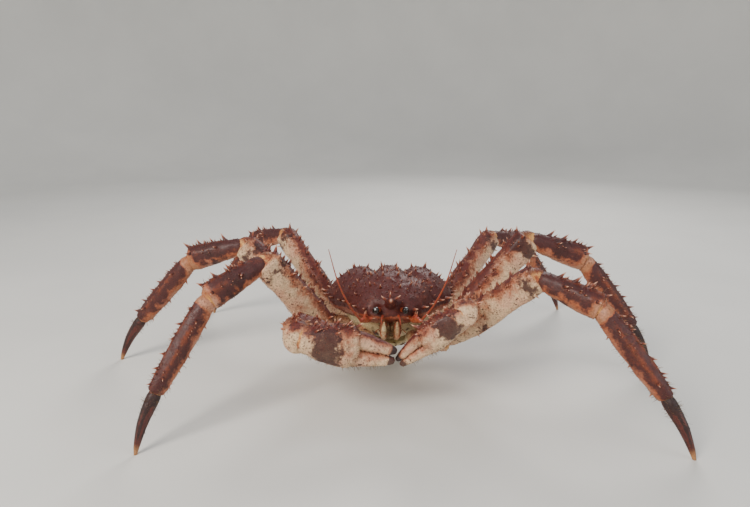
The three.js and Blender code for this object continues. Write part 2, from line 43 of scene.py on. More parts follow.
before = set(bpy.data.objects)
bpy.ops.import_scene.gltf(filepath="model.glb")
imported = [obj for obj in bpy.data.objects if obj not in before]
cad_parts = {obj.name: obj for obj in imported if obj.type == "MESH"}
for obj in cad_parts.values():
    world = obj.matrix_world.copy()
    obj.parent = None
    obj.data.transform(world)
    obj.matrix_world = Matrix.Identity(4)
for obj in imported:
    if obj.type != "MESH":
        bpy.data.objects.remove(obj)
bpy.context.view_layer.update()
MM = 0.001

# The body, as in the solids
SHELL = 165
HALF = SHELL / 2
BODY_PLACE = Vector((14.6, -16.7, 64))
BODY_PITCH = 6
RIM = 46
DOME = 42
UNDER_RIM = 26
SPLIT = 28
HALF_GAP = 0.2  # from the cut between back shell and breast to either of them
BREAST_TOP = 34
BREAST_DEPTH = 46
FOOT_DEPTH = 2.2
SHELL_FULLNESS = 0.9
SHELL_OUTLINE = [
    [0, 84], [16, 86], [26, 84], [45, 75], [60, 72], [82, 84],
    [100, 94], [118, 98], [137, 96], [156, 89], [180, 80],
]
BREAST_OUTLINE = [[0, 64], [60, 60], [100, 68], [140, 70], [180, 70]]
BREAST_SEAMS = (28, 62, 95, 128)  # degrees from the front, and one more at the front

# Spines of the back, in half shell lengths: [across, forward, size], both sides
BACK_SPINES = [
    [0.15, 0.76, 9], [0.34, 0.66, 8], [0.13, 0.52, 9], [0.3, 0.4, 9], [0.12, 0.26, 8],
    [0.36, 0.2, 7], [0.11, -0.14, 9], [0.12, -0.36, 9], [0.1, -0.58, 8], [0.55, 0.66, 7],
    [0.54, 0.44, 8], [0.7, 0.3, 7], [0.46, -0.02, 8], [0.7, 0.0, 8], [0.4, -0.26, 9],
    [0.64, -0.24, 9], [0.88, -0.18, 8], [0.42, -0.52, 8], [0.66, -0.5, 9],
    [0.88, -0.48, 8], [0.34, -0.76, 7], [0.6, -0.76, 8], [0.12, -0.8, 6],
]
EDGE_SPINES = {"count": 13, "first": 22, "last": 164, "size": 11}
FINE_SPINES = 230
FINE_SPINE_CLEAR = 5  # how far they keep from the main ones
ORBIT = [15, -82, RIM + 6]  # middle of the hollow behind an eye
ORBIT_WIDTH = 7
ORBIT_DEPTH = 5
BODY_WAVES = 0.07  # low waves on a millimetre

BEAK = {
    "reach": 34, "knob": 0, "lean": 0.5,
    "keys": [[0, 10, 8], [0.3, 7, 6.5], [0.7, 4, 4.2], [1, 0.9, 0.9]],
    "rows": [[55, 0.42, 0.42, 1, 10], [-55, 0.42, 0.42, 1, 10], [0, 0.3, 0.3, 1, 9]],
}
BEAK_ROOT = Vector((0, -76, RIM + 12))
BEAK_SLOPE = 24

# The tail flap: stations of [forward, level, half width, half thickness]
FLAP = [
    [-66, 24, 36, 9], [-80, 12, 43, 10], [-82, -2, 47, 10], [-70, -13, 47, 8],
    [-48, -19, 42, 6], [-24, -21, 32, 5.5], [-2, -21, 19, 4.5], [12, -20, 7, 3],
]
FLAP_SEAMS = (0.13, 0.23, 0.34)
FLAP_CURVE = 2 / 2.6
FLAP_SPINES = 34
# Raised plates: [share along the flap, across in half widths, half length, half width]
FLAP_PLATES = [
    [0.9, 0, 11, 7], [0.72, 0, 13, 9], [0.74, 0.62, 12, 6.5], [0.55, 0.4, 12, 9.5],
    [0.56, 0.8, 9, 5], [0.38, 0.32, 11, 11], [0.4, 0.76, 9, 7],
]
PLATE_RISE = 3.2

# Walking legs: keys are [share of the length, half width, half depth, lift], rows of
# spines are [degrees from the upper side, first share, last share, count, size].
LEG_PIECES = {
    "base": {
        "reach": 58, "knob": 9,
        "keys": [[0, 12, 13], [0.25, 15, 16], [0.6, 15.5, 16.5], [0.86, 15.5, 17.5], [1, 9, 10.5]],
        "rows": [[10, 0.7, 0.84, 2, 7]],
    },
    "merus": {
        "reach": 172, "knob": 12,
        "keys": [
            [0, 9, 10], [0.06, 12.5, 14.5], [0.32, 15.5, 21],
            [0.66, 14.5, 19.5], [0.91, 15, 19], [1, 9, 11],
        ],
        "rows": [
            [0, 0.18, 0.93, 6, 11], [52, 0.24, 0.92, 5, 9],
            [-52, 0.28, 0.9, 4, 9], [150, 0.3, 0.86, 2, 7],
        ],
    },
    "carpus": {
        "reach": 84, "knob": 9,
        "keys": [[0, 8.5, 9.5], [0.1, 11.5, 12.5], [0.5, 14, 16], [0.86, 14.5, 17.5], [1, 8.5, 11]],
        "rows": [[0, 0.28, 0.9, 4, 11], [60, 0.42, 0.86, 2, 9], [-60, 0.42, 0.86, 2, 9]],
    },
    "propodus": {
        "reach": 130, "knob": 6,
        "keys": [[0, 8, 9], [0.08, 11, 12.5], [0.45, 11, 13.5], [0.9, 9, 11], [1, 6, 7.5]],
        "rows": [
            [0, 0.16, 0.9, 6, 8], [65, 0.25, 0.8, 2, 7],
            [-65, 0.25, 0.8, 2, 7], [180, 0.26, 0.88, 3, 6],
        ],
    },
    "claw": {
        "reach": 82, "knob": 0,
        "keys": [
            [0, 6, 7, 0], [0.1, 7.5, 8.5, 0.5], [0.5, 5.5, 6.5, 1.5],
            [0.85, 3, 3.6, -2], [1, 1.5, 1.8, -5],
        ],
    },
}
LEGS = [
    {
        "pair": 1, "size": 0.95, "root": [30, 22, 0], "azimuth": [30, 33, 34, 37, 40],
        "slope": {"base": 4, "carpus": -20, "propodus": -51, "claw": -60},
    },
    {
        "pair": 2, "size": 1, "root": [35, -8, 0], "azimuth": [-2, -2, 0, 2, 4],
        "slope": {"base": 3, "carpus": -17, "propodus": -50, "claw": -59},
    },
    {
        "pair": 3, "size": 0.93, "root": [36, -38, 1], "azimuth": [-34, -36, -35, -32, -30],
        "slope": {"base": 4, "carpus": -17, "propodus": -49, "claw": -58},
    },
]
# Where each piece steps in to its soft joint, and its seams
LEG_RIMS = {"base": 0.9, "merus": 0.935, "carpus": 0.91, "propodus": 0.955}
LEG_SEAMS = {"base": (0.36, 0.66), "merus": (0.12,)}
# What each piece is dressed with: slot, finish, grains, bristles on a square metre
LEG_DRESS = {
    "base": ("limb_shell", "inner limb shell", 0.8, 0),
    "merus": ("limb_shell", "inner limb shell", 1.0, 30000),
    "carpus": ("limb_shell", "outer limb shell", 1.3, 50000),
    "propodus": ("limb_shell", "outer limb shell", 1.3, 60000),
    "claw": ("horn", "claw horn", 0.5, 90000),
}
STANCE = {
    "right": {"side": -1, "turn": [2, -3, 1], "flex": [-3, 2, 0]},
    "left": {"side": 1, "turn": [-2, 2, -2], "flex": [3, -2, 2]},
}

# Pincers and the arms that carry them: root, then the aim of base, merus, carpus, hand
ARM_ROWS = {
    "base": [[0, 0.7, 0.84, 2, 6]],
    "merus": [[0, 0.35, 0.9, 3, 9], [60, 0.5, 0.88, 2, 8], [-60, 0.5, 0.88, 2, 8]],
    "carpus": [[0, 0.3, 0.85, 3, 9], [55, 0.4, 0.8, 2, 8], [-55, 0.4, 0.8, 2, 8]],
    "hand": [
        [0, 0.2, 0.86, 5, 9], [40, 0.25, 0.85, 3, 8],
        [-40, 0.25, 0.85, 3, 8], [90, 0.4, 0.75, 2, 6],
    ],
}
ARM_RIMS = {"base": 0.88, "merus": 0.92, "carpus": 0, "hand": 0}
ARM_FINISHES = {
    "base": "pale shell", "merus": "inner limb shell",
    "carpus": "pincer shell", "hand": "pincer shell",
}
FIXED_FINGER = {"reach": 60, "root": (64, -13), "slope": 5}
MOVING_FINGER = {"reach": 56, "root": (68, 12.5), "slope": -8}
ARMS = [
    {
        "name": "right_arm", "side": -1, "size": 1, "wide": 1, "root": [27, 50, 4],
        "aims": [[52, 8, 0], [24, 26, 0], [104, 6, 0], [188, -14, 0]],
    },
    {
        "name": "left_arm", "side": 1, "size": 0.86, "wide": 0.86, "root": [27, 50, 4],
        "aims": [[52, 12, 0], [26, 48, 0], [104, 16, 0], [184, -40, 0]],
    },
]

EYE = {
    "reach": 17, "knob": 0,
    "keys": [[0, 3.2, 3.2], [0.5, 3.4, 3.4], [0.78, 4.4, 4.4], [0.94, 3.2, 3.2], [1, 1.4, 1.4]],
}
FEELER_STEM = {
    "reach": 30, "knob": 0,
    "keys": [[0, 5, 5], [0.3, 5.5, 5], [0.36, 4.2, 4], [0.62, 4.4, 4], [0.68, 3, 3], [1, 2.4, 2.4]],
    "rows": [[0, 0.25, 0.55, 2, 7], [80, 0.25, 0.25, 1, 9]],
}
FEELER_WHIP = {
    "reach": 135, "knob": 0,
    "keys": [[0, 1.6, 1.6, 0], [0.3, 1.3, 1.3, -5], [0.65, 0.9, 0.9, -3], [1, 0.4, 0.4, 8]],
}
SMALL_FEELER = {
    "reach": 38, "knob": 0,
    "keys": [
        [0, 2.4, 2.4, 0], [0.4, 2, 2, 1], [0.5, 1.4, 1.4, 1],
        [0.75, 1.2, 1.2, -1], [1, 0.4, 0.4, -6],
    ],
}
JAW_LOWER = {
    "reach": 34, "knob": 5,
    "keys": [[0, 4.5, 6], [0.3, 5, 7], [0.8, 4.5, 6], [1, 3, 4]],
}
JAW_UPPER = {
    "reach": 24, "knob": 0,
    "keys": [[0, 3, 4], [0.3, 4, 5.5], [0.75, 3.2, 4.2], [1, 1.2, 1.6]],
}
# Fine spines of the mouth limbs, and the small palps and lashes between them:
# palps are [across, forward, level, slope, size]
JAW_LOWER["rows"] = [[70, 0.35, 0.9, 3, 3.5], [-70, 0.35, 0.9, 3, 3]]
JAW_UPPER["rows"] = [[60, 0.15, 0.8, 3, 2.6], [-60, 0.2, 0.7, 2, 2.4]]
MOUTH_PALPS = [[4, 58, 14, 52, 0.8], [11.5, 58, 15, 60, 0.85], [4, 60, 22, 66, 0.6]]
MOUTH_LASH = {
    "reach": 30, "knob": 0,
    "keys": [[0, 1.3, 1.3, 0], [0.4, 1, 1, 2], [0.7, 0.7, 0.7, 1], [1, 0.3, 0.3, -6]],
}
# Roots of the head's pieces as [across, forward, level], then azimuth and slope
HEAD_PLACES = {
    "eye": ((15, 78, RIM + 6), (68, 14)),
    "feeler": ((30, 72, RIM - 8), (72, 14)),
    "small_feeler": ((9, 68, RIM - 3), (84, 8)),
    "jaw_limb": ((8, 44, 6), (88, 24)),
    "lash": ((13, 56, 10), (74, 38)),
}
WHIP_WAY = (62, 54)
JAW_UPPER_WAY = (92, 68)
PALP_AZIMUTH = 97
WHIP_RINGS = (1.9, 0.14)  # millimetres from ring to ring, and their depth as a share
SMALL_FEELER_RINGS = (2.4, 0.12)


def colour(code):
    """A colour code such as 7a2b22 as linear red, green and blue."""
    shares = [int(code[i : i + 2], 16) / 255 for i in (0, 2, 4)]
    return [s / 12.92 if s <= 0.04045 else ((s + 0.055) / 1.055) ** 2.4 for s in shares]


def colour_property(name, description, code):
    return FloatVectorProperty(
        name=name, description=description, subtype="COLOR", size=3,
        min=0, max=1, default=colour(code),
    )


class CrabSizes(bpy.types.PropertyGroup):
    """Sizes of the fine relief"""

    thorn_girth: FloatProperty(
        name="Spine girth", description="Width of a spine at its foot, for its height",
        default=0.29, min=0.1, max=0.5,
    )
    fine_share: FloatProperty(
        name="Fine spines", description="Height of the spines between the main ones",
        default=0.52, min=0.1, max=1,
    )
    grain_size: FloatProperty(
        name="Grain size", description="Height of the grains on the shell",
        default=1.15 * MM, min=0, subtype="DISTANCE", unit="LENGTH",
    )
    grain_density: FloatProperty(
        name="Grain density", description="Grains on a square metre of shell",
        default=14000, min=0,
    )
    bristle_length: FloatProperty(
        name="Bristle length", description="Length of the stiff hairs",
        default=5.5 * MM, min=0, subtype="DISTANCE", unit="LENGTH",
    )
    lumpiness: FloatProperty(
        name="Lumpiness", description="Height of the low waves in the shell",
        default=0.8 * MM, min=0, subtype="DISTANCE", unit="LENGTH",
    )


class CrabColours(bpy.types.PropertyGroup):
    """Colours of the shell, spines, horn and eyes"""

    back: colour_property("Back", "Top of the back shell", "4e1610")
    back_blotch: colour_property("Back blotches", "Paler clouds on the back", "7c3019")
    limb_top: colour_property("Limb top", "Upper side of the limbs", "561610")
    limb_under: colour_property("Limb underside", "Pale side of the limbs", "d6b48e")
    shank: colour_property("Shank", "Outer leg pieces", "43110e")
    shank_under: colour_property("Shank underside", "Under the outer pieces", "a56a44")
    # The flush is partly the pale shell's own pink tint and partly painted shade: the pinkish cast
    # the pale legs take in shade
    flush: colour_property("Flush", "Pinkish tint in the pale shell", "c48f76")
    blotch: colour_property("Blotches", "Orange-brown clouds on pale shell", "9c4a24")
    dots: colour_property("Dots", "Small dark dots", "3d1710")
    patch: colour_property("Patches", "Maroon patches of palms and knees", "3a100c")
    cream: colour_property("Cream", "Breast, mouth limbs and leg roots", "d3c094")
    joint: colour_property("Joints", "Soft skin and rims of the joints", "d69c52")
    spine: colour_property("Spine tips", "Tips of the spines", "d9a488")
    horn: colour_property("Horn", "Claws and finger tips", "2a0e0b")
    claw: colour_property("Claw streaks", "Lighter streaks of the claws", "5e2314")
    horn_tip: colour_property("Horn tips", "Very tips of the claws", "a87548")
    feeler: colour_property("Feelers", "Feelers and the skin of the face", "a5432c")
    bristle: colour_property("Bristles", "Stiff hairs", "8f6b42")
    floor: colour_property("Floor", "Studio floor", "d9d7d2")


def sizes():
    return bpy.context.scene.crab_sizes


def colours():
    return bpy.context.scene.crab_colours


# Shapes, with the same formulas as the solids


def power(value, exponent):
    return np.sign(value) * np.abs(value) ** exponent


def smoothstep(value, low, high):
    t = np.clip((value - low) / (high - low), 0, 1)
    return t * t * (3 - 2 * t)


def bell(value, middle, width):
    """1 at the middle, falling away smoothly on both sides."""
    return np.exp(-(((value - middle) / width) ** 2))


def around(count):
    """Angles of the corners of a ring."""
    return np.linspace(0, 2 * np.pi, count, endpoint=False)


def dice(seed):
    """A seeded draw between -1 and 1."""
    state = seed * 9301.0 + 49297.0

    def draw():
        nonlocal state
        state = math.fmod(state * 1103515245.0 + 12345.0, 2147483648.0)
        return state / 2147483648.0 * 2 - 1

    return draw


def smooth(keys, place):
    """A smooth curve through keys of the form [place, value, ...], read at one place."""
    last = len(keys) - 1
    at = min(max(place, keys[0][0]), keys[-1][0])
    i = 0
    while i < last - 1 and at > keys[i + 1][0]:
        i += 1
    a, b = keys[i], keys[i + 1]
    before, after = keys[max(i - 1, 0)], keys[min(i + 2, last)]
    width = b[0] - a[0]
    u = (at - a[0]) / width
    values = []
    for k in range(1, len(a)):
        slope_a = (b[k] - before[k]) / (b[0] - before[0]) * width
        slope_b = (after[k] - a[k]) / (after[0] - a[0]) * width
        rise = b[k] - a[k]
        bend = (3 * rise - 2 * slope_a - slope_b) * u * u
        values.append(a[k] + slope_a * u + bend + (slope_a + slope_b - 2 * rise) * u**3)
    return values


def aim(origin, side, azimuth, elevation, roll=0):
    """The frame of a piece that points along an azimuth at an elevation."""
    a, e = math.radians(azimuth), math.radians(elevation)
    along = Vector((side * math.cos(e) * math.cos(a), -math.cos(e) * math.sin(a), math.sin(e)))
    upper = Vector((-side * math.sin(e) * math.cos(a), math.sin(e) * math.sin(a), math.cos(e)))
    upper.rotate(Matrix.Rotation(math.radians(roll) * side, 3, along))
    basis = Matrix((along, upper.cross(along), upper)).transposed().to_4x4()
    return Matrix.Translation(origin) @ basis


# Relief of the limbs in millimetres, and its widths in radians and shares of the length
LIMB_CURVE = 2 / 2.3  # power of sine and cosine that squares a limb's section a little
CREST = 1.1
CREST_WIDTH = 0.24
SEAM = 1.3
SEAM_WIDTH = 0.006
WRINKLE = 0.35
LIMB_WAVES = 0.09  # low waves on a millimetre
RIM_WIDTH = 0.012
RIM_LIP = 0.05  # how much the rim stands out, as a share of the half width
JOINT_STEP = 0.16  # how much the soft joint steps in, as a share of the half width

BODY = Matrix.Translation(BODY_PLACE) @ Matrix.Rotation(math.radians(-BODY_PITCH), 4, "X")


def in_body(side, across, forward, level):
    return BODY @ Vector((side * across, -forward, level))


def scaled(piece, size):
    keys = [[share, *(v * size for v in values)] for share, *values in piece["keys"]]
    return {**piece, "reach": piece["reach"] * size, "knob": piece["knob"] * size, "keys": keys}


def limb_point(piece, share, angle, radial=1):
    width, depth, lift = (*smooth(piece["keys"], share), 0)[:3]
    across, up = power(math.sin(angle), LIMB_CURVE), power(math.cos(angle), LIMB_CURVE)
    length = piece["reach"] + piece["knob"]
    return Vector((length * share, width * across * radial, depth * up * radial + lift))


# Meshes: each shape is points in millimetres, faces, and values at the points. The
# materials read the first five: upper (1 on top, -1 below), tip, joint, patch and ridge.
# Bristles grow where hairy says.
MARKS = ("upper", "tip", "joint", "patch", "ridge", "hairy")


def grid_faces(rows, columns):
    """Faces of a tube of rings with one closing point at each end."""
    faces = []
    for i in range(rows - 1):
        for j in range(columns):
            k = (j + 1) % columns
            a, b = i * columns + j, i * columns + k
            faces.append((a, b, b + columns, a + columns))
    start, end = rows * columns, rows * columns + 1
    last = (rows - 1) * columns
    for j in range(columns):
        k = (j + 1) % columns
        faces.append((start, k, j))
        faces.append((end, last + j, last + k))
    return faces


def joined(shapes):
    """Several shapes as one."""
    points, faces, marks, offset = [], [], {m: [] for m in MARKS}, 0
    for shape in shapes:
        points.append(shape["points"])
        faces += [tuple(v + offset for v in face) for face in shape["faces"]]
        for mark in MARKS:
            marks[mark].append(shape.get(mark, np.zeros(len(shape["points"]))))
        offset += len(shape["points"])
    made = {mark: np.concatenate(values) for mark, values in marks.items()}
    return {"points": np.concatenate(points), "faces": faces, **made}


def placed(shape, matrix):
    m = np.array(matrix)
    return {**shape, "points": shape["points"] @ m[:3, :3].T + m[:3, 3]}


def waved(points, outs, height, scale):
    """Points moved along their outward directions by low smooth waves."""
    waves = np.array([noise.fractal(Vector(p) * scale, 0.6, 2.1, 3) for p in points])
    return points + outs * (waves * height)[:, None]


def ridges(piece, side, share, turn):
    """Low crests that run under the rows of spines."""
    crest = np.zeros(len(share))
    for degrees, first, last, count, _ in piece.get("rows", []):
        if count > 1:
            away = np.angle(np.exp(1j * (turn + side * math.radians(degrees))))
            start = smoothstep(share, first - 0.1, first + 0.05)
            stop = 1 - smoothstep(share, last - 0.03, last + 0.06)
            crest = np.maximum(crest, start * stop * bell(away, 0, CREST_WIDTH))
    return crest


def ring_shares(rings, bend, rim, seams):
    """Where a limb's rings stand: closer at its ends, at its rim and at its seams."""
    steps = np.linspace(0, 1, rings)
    shares = [steps - 0.6 * np.sin(2 * np.pi * steps) / (2 * np.pi)]
    shares.append(1 - bend * (1 - np.sin(np.linspace(0, 1.5, 8))))
    if rim:
        shares += [[rim - RIM_WIDTH, rim, rim + 0.004], np.linspace(rim + RIM_WIDTH, 0.985, 16)]
    for seam in seams:
        shares.append(seam + np.linspace(-0.014, 0.014, 7))
    return np.unique(np.round(np.concatenate(shares), 5))


def limb_shape(piece, rings=52, sides=36, side=1, rim=0.0, seams=(), lumps=1.0):
    """A limb piece along its own x, with crests under its spines, seams round it and a
    rounded end. After the rim share it steps in to a soft wrinkled joint."""
    length = piece["reach"] + piece["knob"]
    bend = 0.8 * min(piece["keys"][-1][1:3]) / length
    shares = ring_shares(rings, bend, rim, seams)
    angles = around(sides)
    across, up = power(np.sin(angles), LIMB_CURVE), power(np.cos(angles), LIMB_CURVE)
    points, outs = [], []
    for share in shares:
        width, depth, lift = (*smooth(piece["keys"], share), 0)[:3]
        beyond = min(max((share - 1 + bend) / bend, 0), 0.998)
        width, depth = (v * math.sqrt(1 - beyond**2) for v in (width, depth))
        if rim:
            step = 1 - JOINT_STEP * smoothstep(share, rim, rim + RIM_WIDTH)
            lip = 1 + RIM_LIP * bell(share, rim - 0.01, 0.014)
            width, depth = width * step * lip, depth * step * lip
        x = np.full(sides, length * share)
        points.append(np.stack([x, width * across, depth * up + lift], 1))
        outs.append(np.stack([np.zeros(sides), np.sin(angles), np.cos(angles)], 1))
    first, last = points[0].mean(0), points[-1].mean(0)
    points = np.concatenate([*points, [first - [0.5, 0, 0], last + [0.3, 0, 0]]])
    outs = np.concatenate([*outs, [[-1, 0, 0], [1, 0, 0]]])
    share = np.concatenate([np.repeat(shares, sides), [0, 1]])
    turn = np.concatenate([np.tile(angles, len(shares)), [0, 0]])
    crest = ridges(piece, side, share, turn)
    joint = smoothstep(share, rim, rim + 0.01) if rim else np.zeros(len(share))
    seam_line = np.zeros(len(share)) + sum(bell(share, seam, SEAM_WIDTH) for seam in seams)
    wrinkles = WRINKLE * joint * np.sin(share * length * 2.6)
    joint = joint * (1 - 0.85 * smoothstep(np.cos(turn), 0.0, 0.75))
    height = CREST * crest - SEAM * seam_line + wrinkles
    points = points + outs * height[:, None]
    points = waved(points, outs, sizes().lumpiness / MM * lumps, LIMB_WAVES)
    # Rings run from x = 0 outwards and round from +z towards +y.
    return {
        "points": points,
        "faces": [tuple(reversed(f)) for f in grid_faces(len(shares), sides)],
        "share": share,
        "turn": turn,
        "upper": np.cos(turn),
        "joint": joint,
        "ridge": crest,
        "patch": 0.7 * seam_line,
    }


def thorn_places(piece, side, seed, fine=True):
    """Feet, directions and sizes of the spines of a limb piece, as in the solids, and
    with finer ones between them."""
    draw = dice(seed)
    made = []

    def place(share, angle, size):
        foot = limb_point(piece, share, angle)
        along = limb_point(piece, share + 0.02, angle) - foot
        across = limb_point(piece, share, angle + 0.02) - foot
        out = along.cross(across).normalized() + Vector((piece.get("lean", 0.45), 0, 0))
        made.append((foot, out.normalized(), size, math.cos(angle)))

    rows = piece.get("rows", [])
    for degrees, first, last, count, size in rows:
        for i in range(count):
            even = i / (count - 1) if count > 1 else 0.5
            share = first + (last - first) * even + draw() * 0.012
            angle = math.radians(-side * (degrees + draw() * 5))
            place(share, angle, size * (1 + draw() * 0.2))
    if fine:
        for degrees, first, last, count, size in rows:
            if count < 2:
                continue
            for _ in range(count * 3):
                share = first + (last - first) * (0.5 + 0.52 * draw())
                angle = math.radians(-side * (degrees + draw() * 16))
                place(share, angle, size * sizes().fine_share * (1 + draw() * 0.3))
    return made


def places_in(places, matrix):
    turn = matrix.to_3x3()
    return [(matrix @ foot, turn @ out, size, upper) for foot, out, size, upper in places]


# Geometry Nodes: spines stand at given places, grains and bristles are scattered


def mesh_of(name, points, faces, marks=None):
    mesh = bpy.data.meshes.new(name)
    mesh.from_pydata((np.asarray(points) * MM).tolist(), [], faces)
    for mark, values in (marks or {}).items():
        attribute = mesh.attributes.new(mark, "FLOAT", "POINT")
        attribute.data.foreach_set("value", np.asarray(values, np.float32))
    mesh.polygons.foreach_set("use_smooth", [True] * len(mesh.polygons))
    mesh.update()
    return mesh


def turned_mesh(name, profile, sides, bend):
    """A closed pin along z from a profile of [height, radius, tip], 1 unit tall."""
    angles = around(sides)
    points = [
        [r * math.cos(a) + bend * max(z, 0) ** 2, r * math.sin(a), z]
        for z, r, _ in profile
        for a in angles
    ]
    (low, _, _), (high, _, _) = profile[0], profile[-1]
    points += [[0, 0, low], [bend * high**2, 0, high + 0.01]]
    tips = [tip for _, _, tip in profile for _ in angles] + [profile[0][2], profile[-1][2]]
    faces = grid_faces(len(profile), sides)
    mesh = mesh_of(name, np.array(points) / MM, faces, {"tip": tips})
    return bpy.data.objects.new(name, mesh)


def places_object(name, places):
    """Points that carry the direction and size of what stands on them."""
    mesh = bpy.data.meshes.new(name)
    mesh.from_pydata([list(foot * MM) for foot, *_ in places], [], [])
    out = mesh.attributes.new("out", "FLOAT_VECTOR", "POINT")
    out.data.foreach_set("vector", np.array([list(p[1]) for p in places]).ravel())
    for mark, index, scale in (("size", 2, MM), ("upper", 3, 1)):
        attribute = mesh.attributes.new(mark, "FLOAT", "POINT")
        attribute.data.foreach_set("value", np.array([p[index] * scale for p in places]))
    return bpy.data.objects.new(name, mesh)


class Tree:
    """Adds nodes to a tree and links or sets their inputs."""

    def __init__(self, tree):
        self.tree = tree

    def add(self, kind, values=None, **settings):
        node = self.tree.nodes.new(kind)
        for key, value in settings.items():
            setattr(node, key, value)
        for socket, value in (values or {}).items():
            if isinstance(value, bpy.types.NodeSocket):
                self.tree.links.new(value, node.inputs[socket])
            else:
                node.inputs[socket].default_value = value
        return node.outputs

    def math(self, operation, a, b=0.0):
        return self.add("ShaderNodeMath", {0: a, 1: b}, operation=operation)[0]

    def times(self, a, b):
        return self.math("MULTIPLY", a, b)

    def swing(self, value, reach):
        """A value that runs from 0 to 1, spread about 0."""
        return self.times(self.math("SUBTRACT", value, 0.5), reach)

    def mix(self, factor, a, b):
        values = {0: factor, 6: a, 7: b}
        return self.add("ShaderNodeMix", values, data_type="RGBA")[2]

    def between(self, value, low, high, start=0.0, end=1.0):
        values = {0: value, 1: low, 2: high, 3: start, 4: end}
        kind = "SMOOTHSTEP"
        return self.add("ShaderNodeMapRange", values, interpolation_type=kind)[0]

    def noise(self, place, scale, detail=4.0, roughness=0.55):
        values = {"Vector": place, "Scale": scale, "Detail": detail, "Roughness": roughness}
        return self.add("ShaderNodeTexNoise", values)["Fac"]


def add_sockets(tree, in_out, groups):
    """Named inputs or outputs of a node group, listed by kind."""
    for kind, names in groups.items():
        for name in names:
            tree.interface.new_socket(name, in_out=in_out, socket_type="NodeSocket" + kind)


def thorn_tree():
    """Stands spines and knobs at their places, scatters grains and bristles."""
    name = "Spines grains and bristles"
    if name in bpy.data.node_groups:
        return bpy.data.node_groups[name]
    tree = bpy.data.node_groups.new(name, "GeometryNodeTree")
    inputs = {
        "Geometry": ["Surface"],
        "Object": ["Thorn Places", "Thorn", "Knob Places", "Knob", "Grain", "Bristle"],
        "Float": ["Grain Density", "Grain Size", "Bristle Density", "Bristle Length"],
        "Material": ["Shell", "Hair"],
    }
    add_sockets(tree, "INPUT", inputs)
    add_sockets(tree, "OUTPUT", {"Geometry": ["Geometry"]})
    t = Tree(tree)
    given = t.add("NodeGroupInput")
    surface = given["Surface"]

    def shape_of(label):
        return t.add("GeometryNodeObjectInfo", {"Object": given[label]})["Geometry"]

    def named(label, kind):
        values = {"Name": label}
        return t.add("GeometryNodeInputNamedAttribute", values, data_type=kind)["Attribute"]

    def facing(vector):
        values = {"Vector": vector}
        return t.add("FunctionNodeAlignRotationToVector", values, axis="Z")["Rotation"]

    def stood(places, shape, rotation, scale):
        values = {"Points": places, "Instance": shape, "Rotation": rotation, "Scale": scale}
        return t.add("GeometryNodeInstanceOnPoints", values)["Instances"]

    def scattered(density, factor, seed):
        values = {"Mesh": surface, "Density": density, "Seed": seed}
        if factor is not None:
            values["Density"] = t.math("MULTIPLY", density, factor)
        return t.add("GeometryNodeDistributePointsOnFaces", values)

    def varied(low, high, seed, kind="FLOAT"):
        node = tree.nodes.new("FunctionNodeRandomValue")
        node.data_type = kind
        first = 0 if kind == "FLOAT_VECTOR" else 2
        node.inputs[first].default_value = low
        node.inputs[first + 1].default_value = high
        node.inputs["Seed"].default_value = seed
        return node.outputs[0 if kind == "FLOAT_VECTOR" else 1]

    layers = []
    for places, shape in (("Thorn Places", "Thorn"), ("Knob Places", "Knob")):
        points = t.add("GeometryNodeMeshToPoints", {"Mesh": shape_of(places)})[0]
        turn = facing(named("out", "FLOAT_VECTOR"))
        layers.append(stood(points, shape_of(shape), turn, named("size", "FLOAT")))

    bare = t.math("SUBTRACT", 1.0, named("joint", "FLOAT"))
    bare = t.math("SUBTRACT", bare, t.math("MULTIPLY", named("tip", "FLOAT"), 20.0))
    grains = scattered(given["Grain Density"], bare, 3)
    grain_scale = t.math("MULTIPLY", given["Grain Size"], varied(0.45, 1.3, 5))
    layers.append(
        stood(grains["Points"], shape_of("Grain"), facing(grains["Normal"]), grain_scale)
    )
    hairs = scattered(given["Bristle Density"], named("hairy", "FLOAT"), 7)
    lean = varied((-0.5, -0.5, -0.5), (0.5, 0.5, 0.5), 9, "FLOAT_VECTOR")
    way = t.add("ShaderNodeVectorMath", {0: hairs["Normal"], 1: lean}, operation="ADD")[0]
    hair_scale = t.math("MULTIPLY", given["Bristle Length"], varied(0.5, 1.2, 11))
    bristles = stood(hairs["Points"], shape_of("Bristle"), facing(way), hair_scale)

    join = tree.nodes.new("GeometryNodeJoinGeometry")
    for layer in (surface, *layers):
        tree.links.new(layer, join.inputs[0])
    shell = t.add("GeometryNodeRealizeInstances", {"Geometry": join.outputs[0]})[0]
    shell = t.add("GeometryNodeSetMaterial", {"Geometry": shell, "Material": given["Shell"]})[0]
    hair = t.add("GeometryNodeRealizeInstances", {"Geometry": bristles})[0]
    hair = t.add("GeometryNodeSetMaterial", {"Geometry": hair, "Material": given["Hair"]})[0]
    both = tree.nodes.new("GeometryNodeJoinGeometry")
    for layer in (shell, hair):
        tree.links.new(layer, both.inputs[0])
    t.add("NodeGroupOutput", {"Geometry": both.outputs[0]})
    return tree


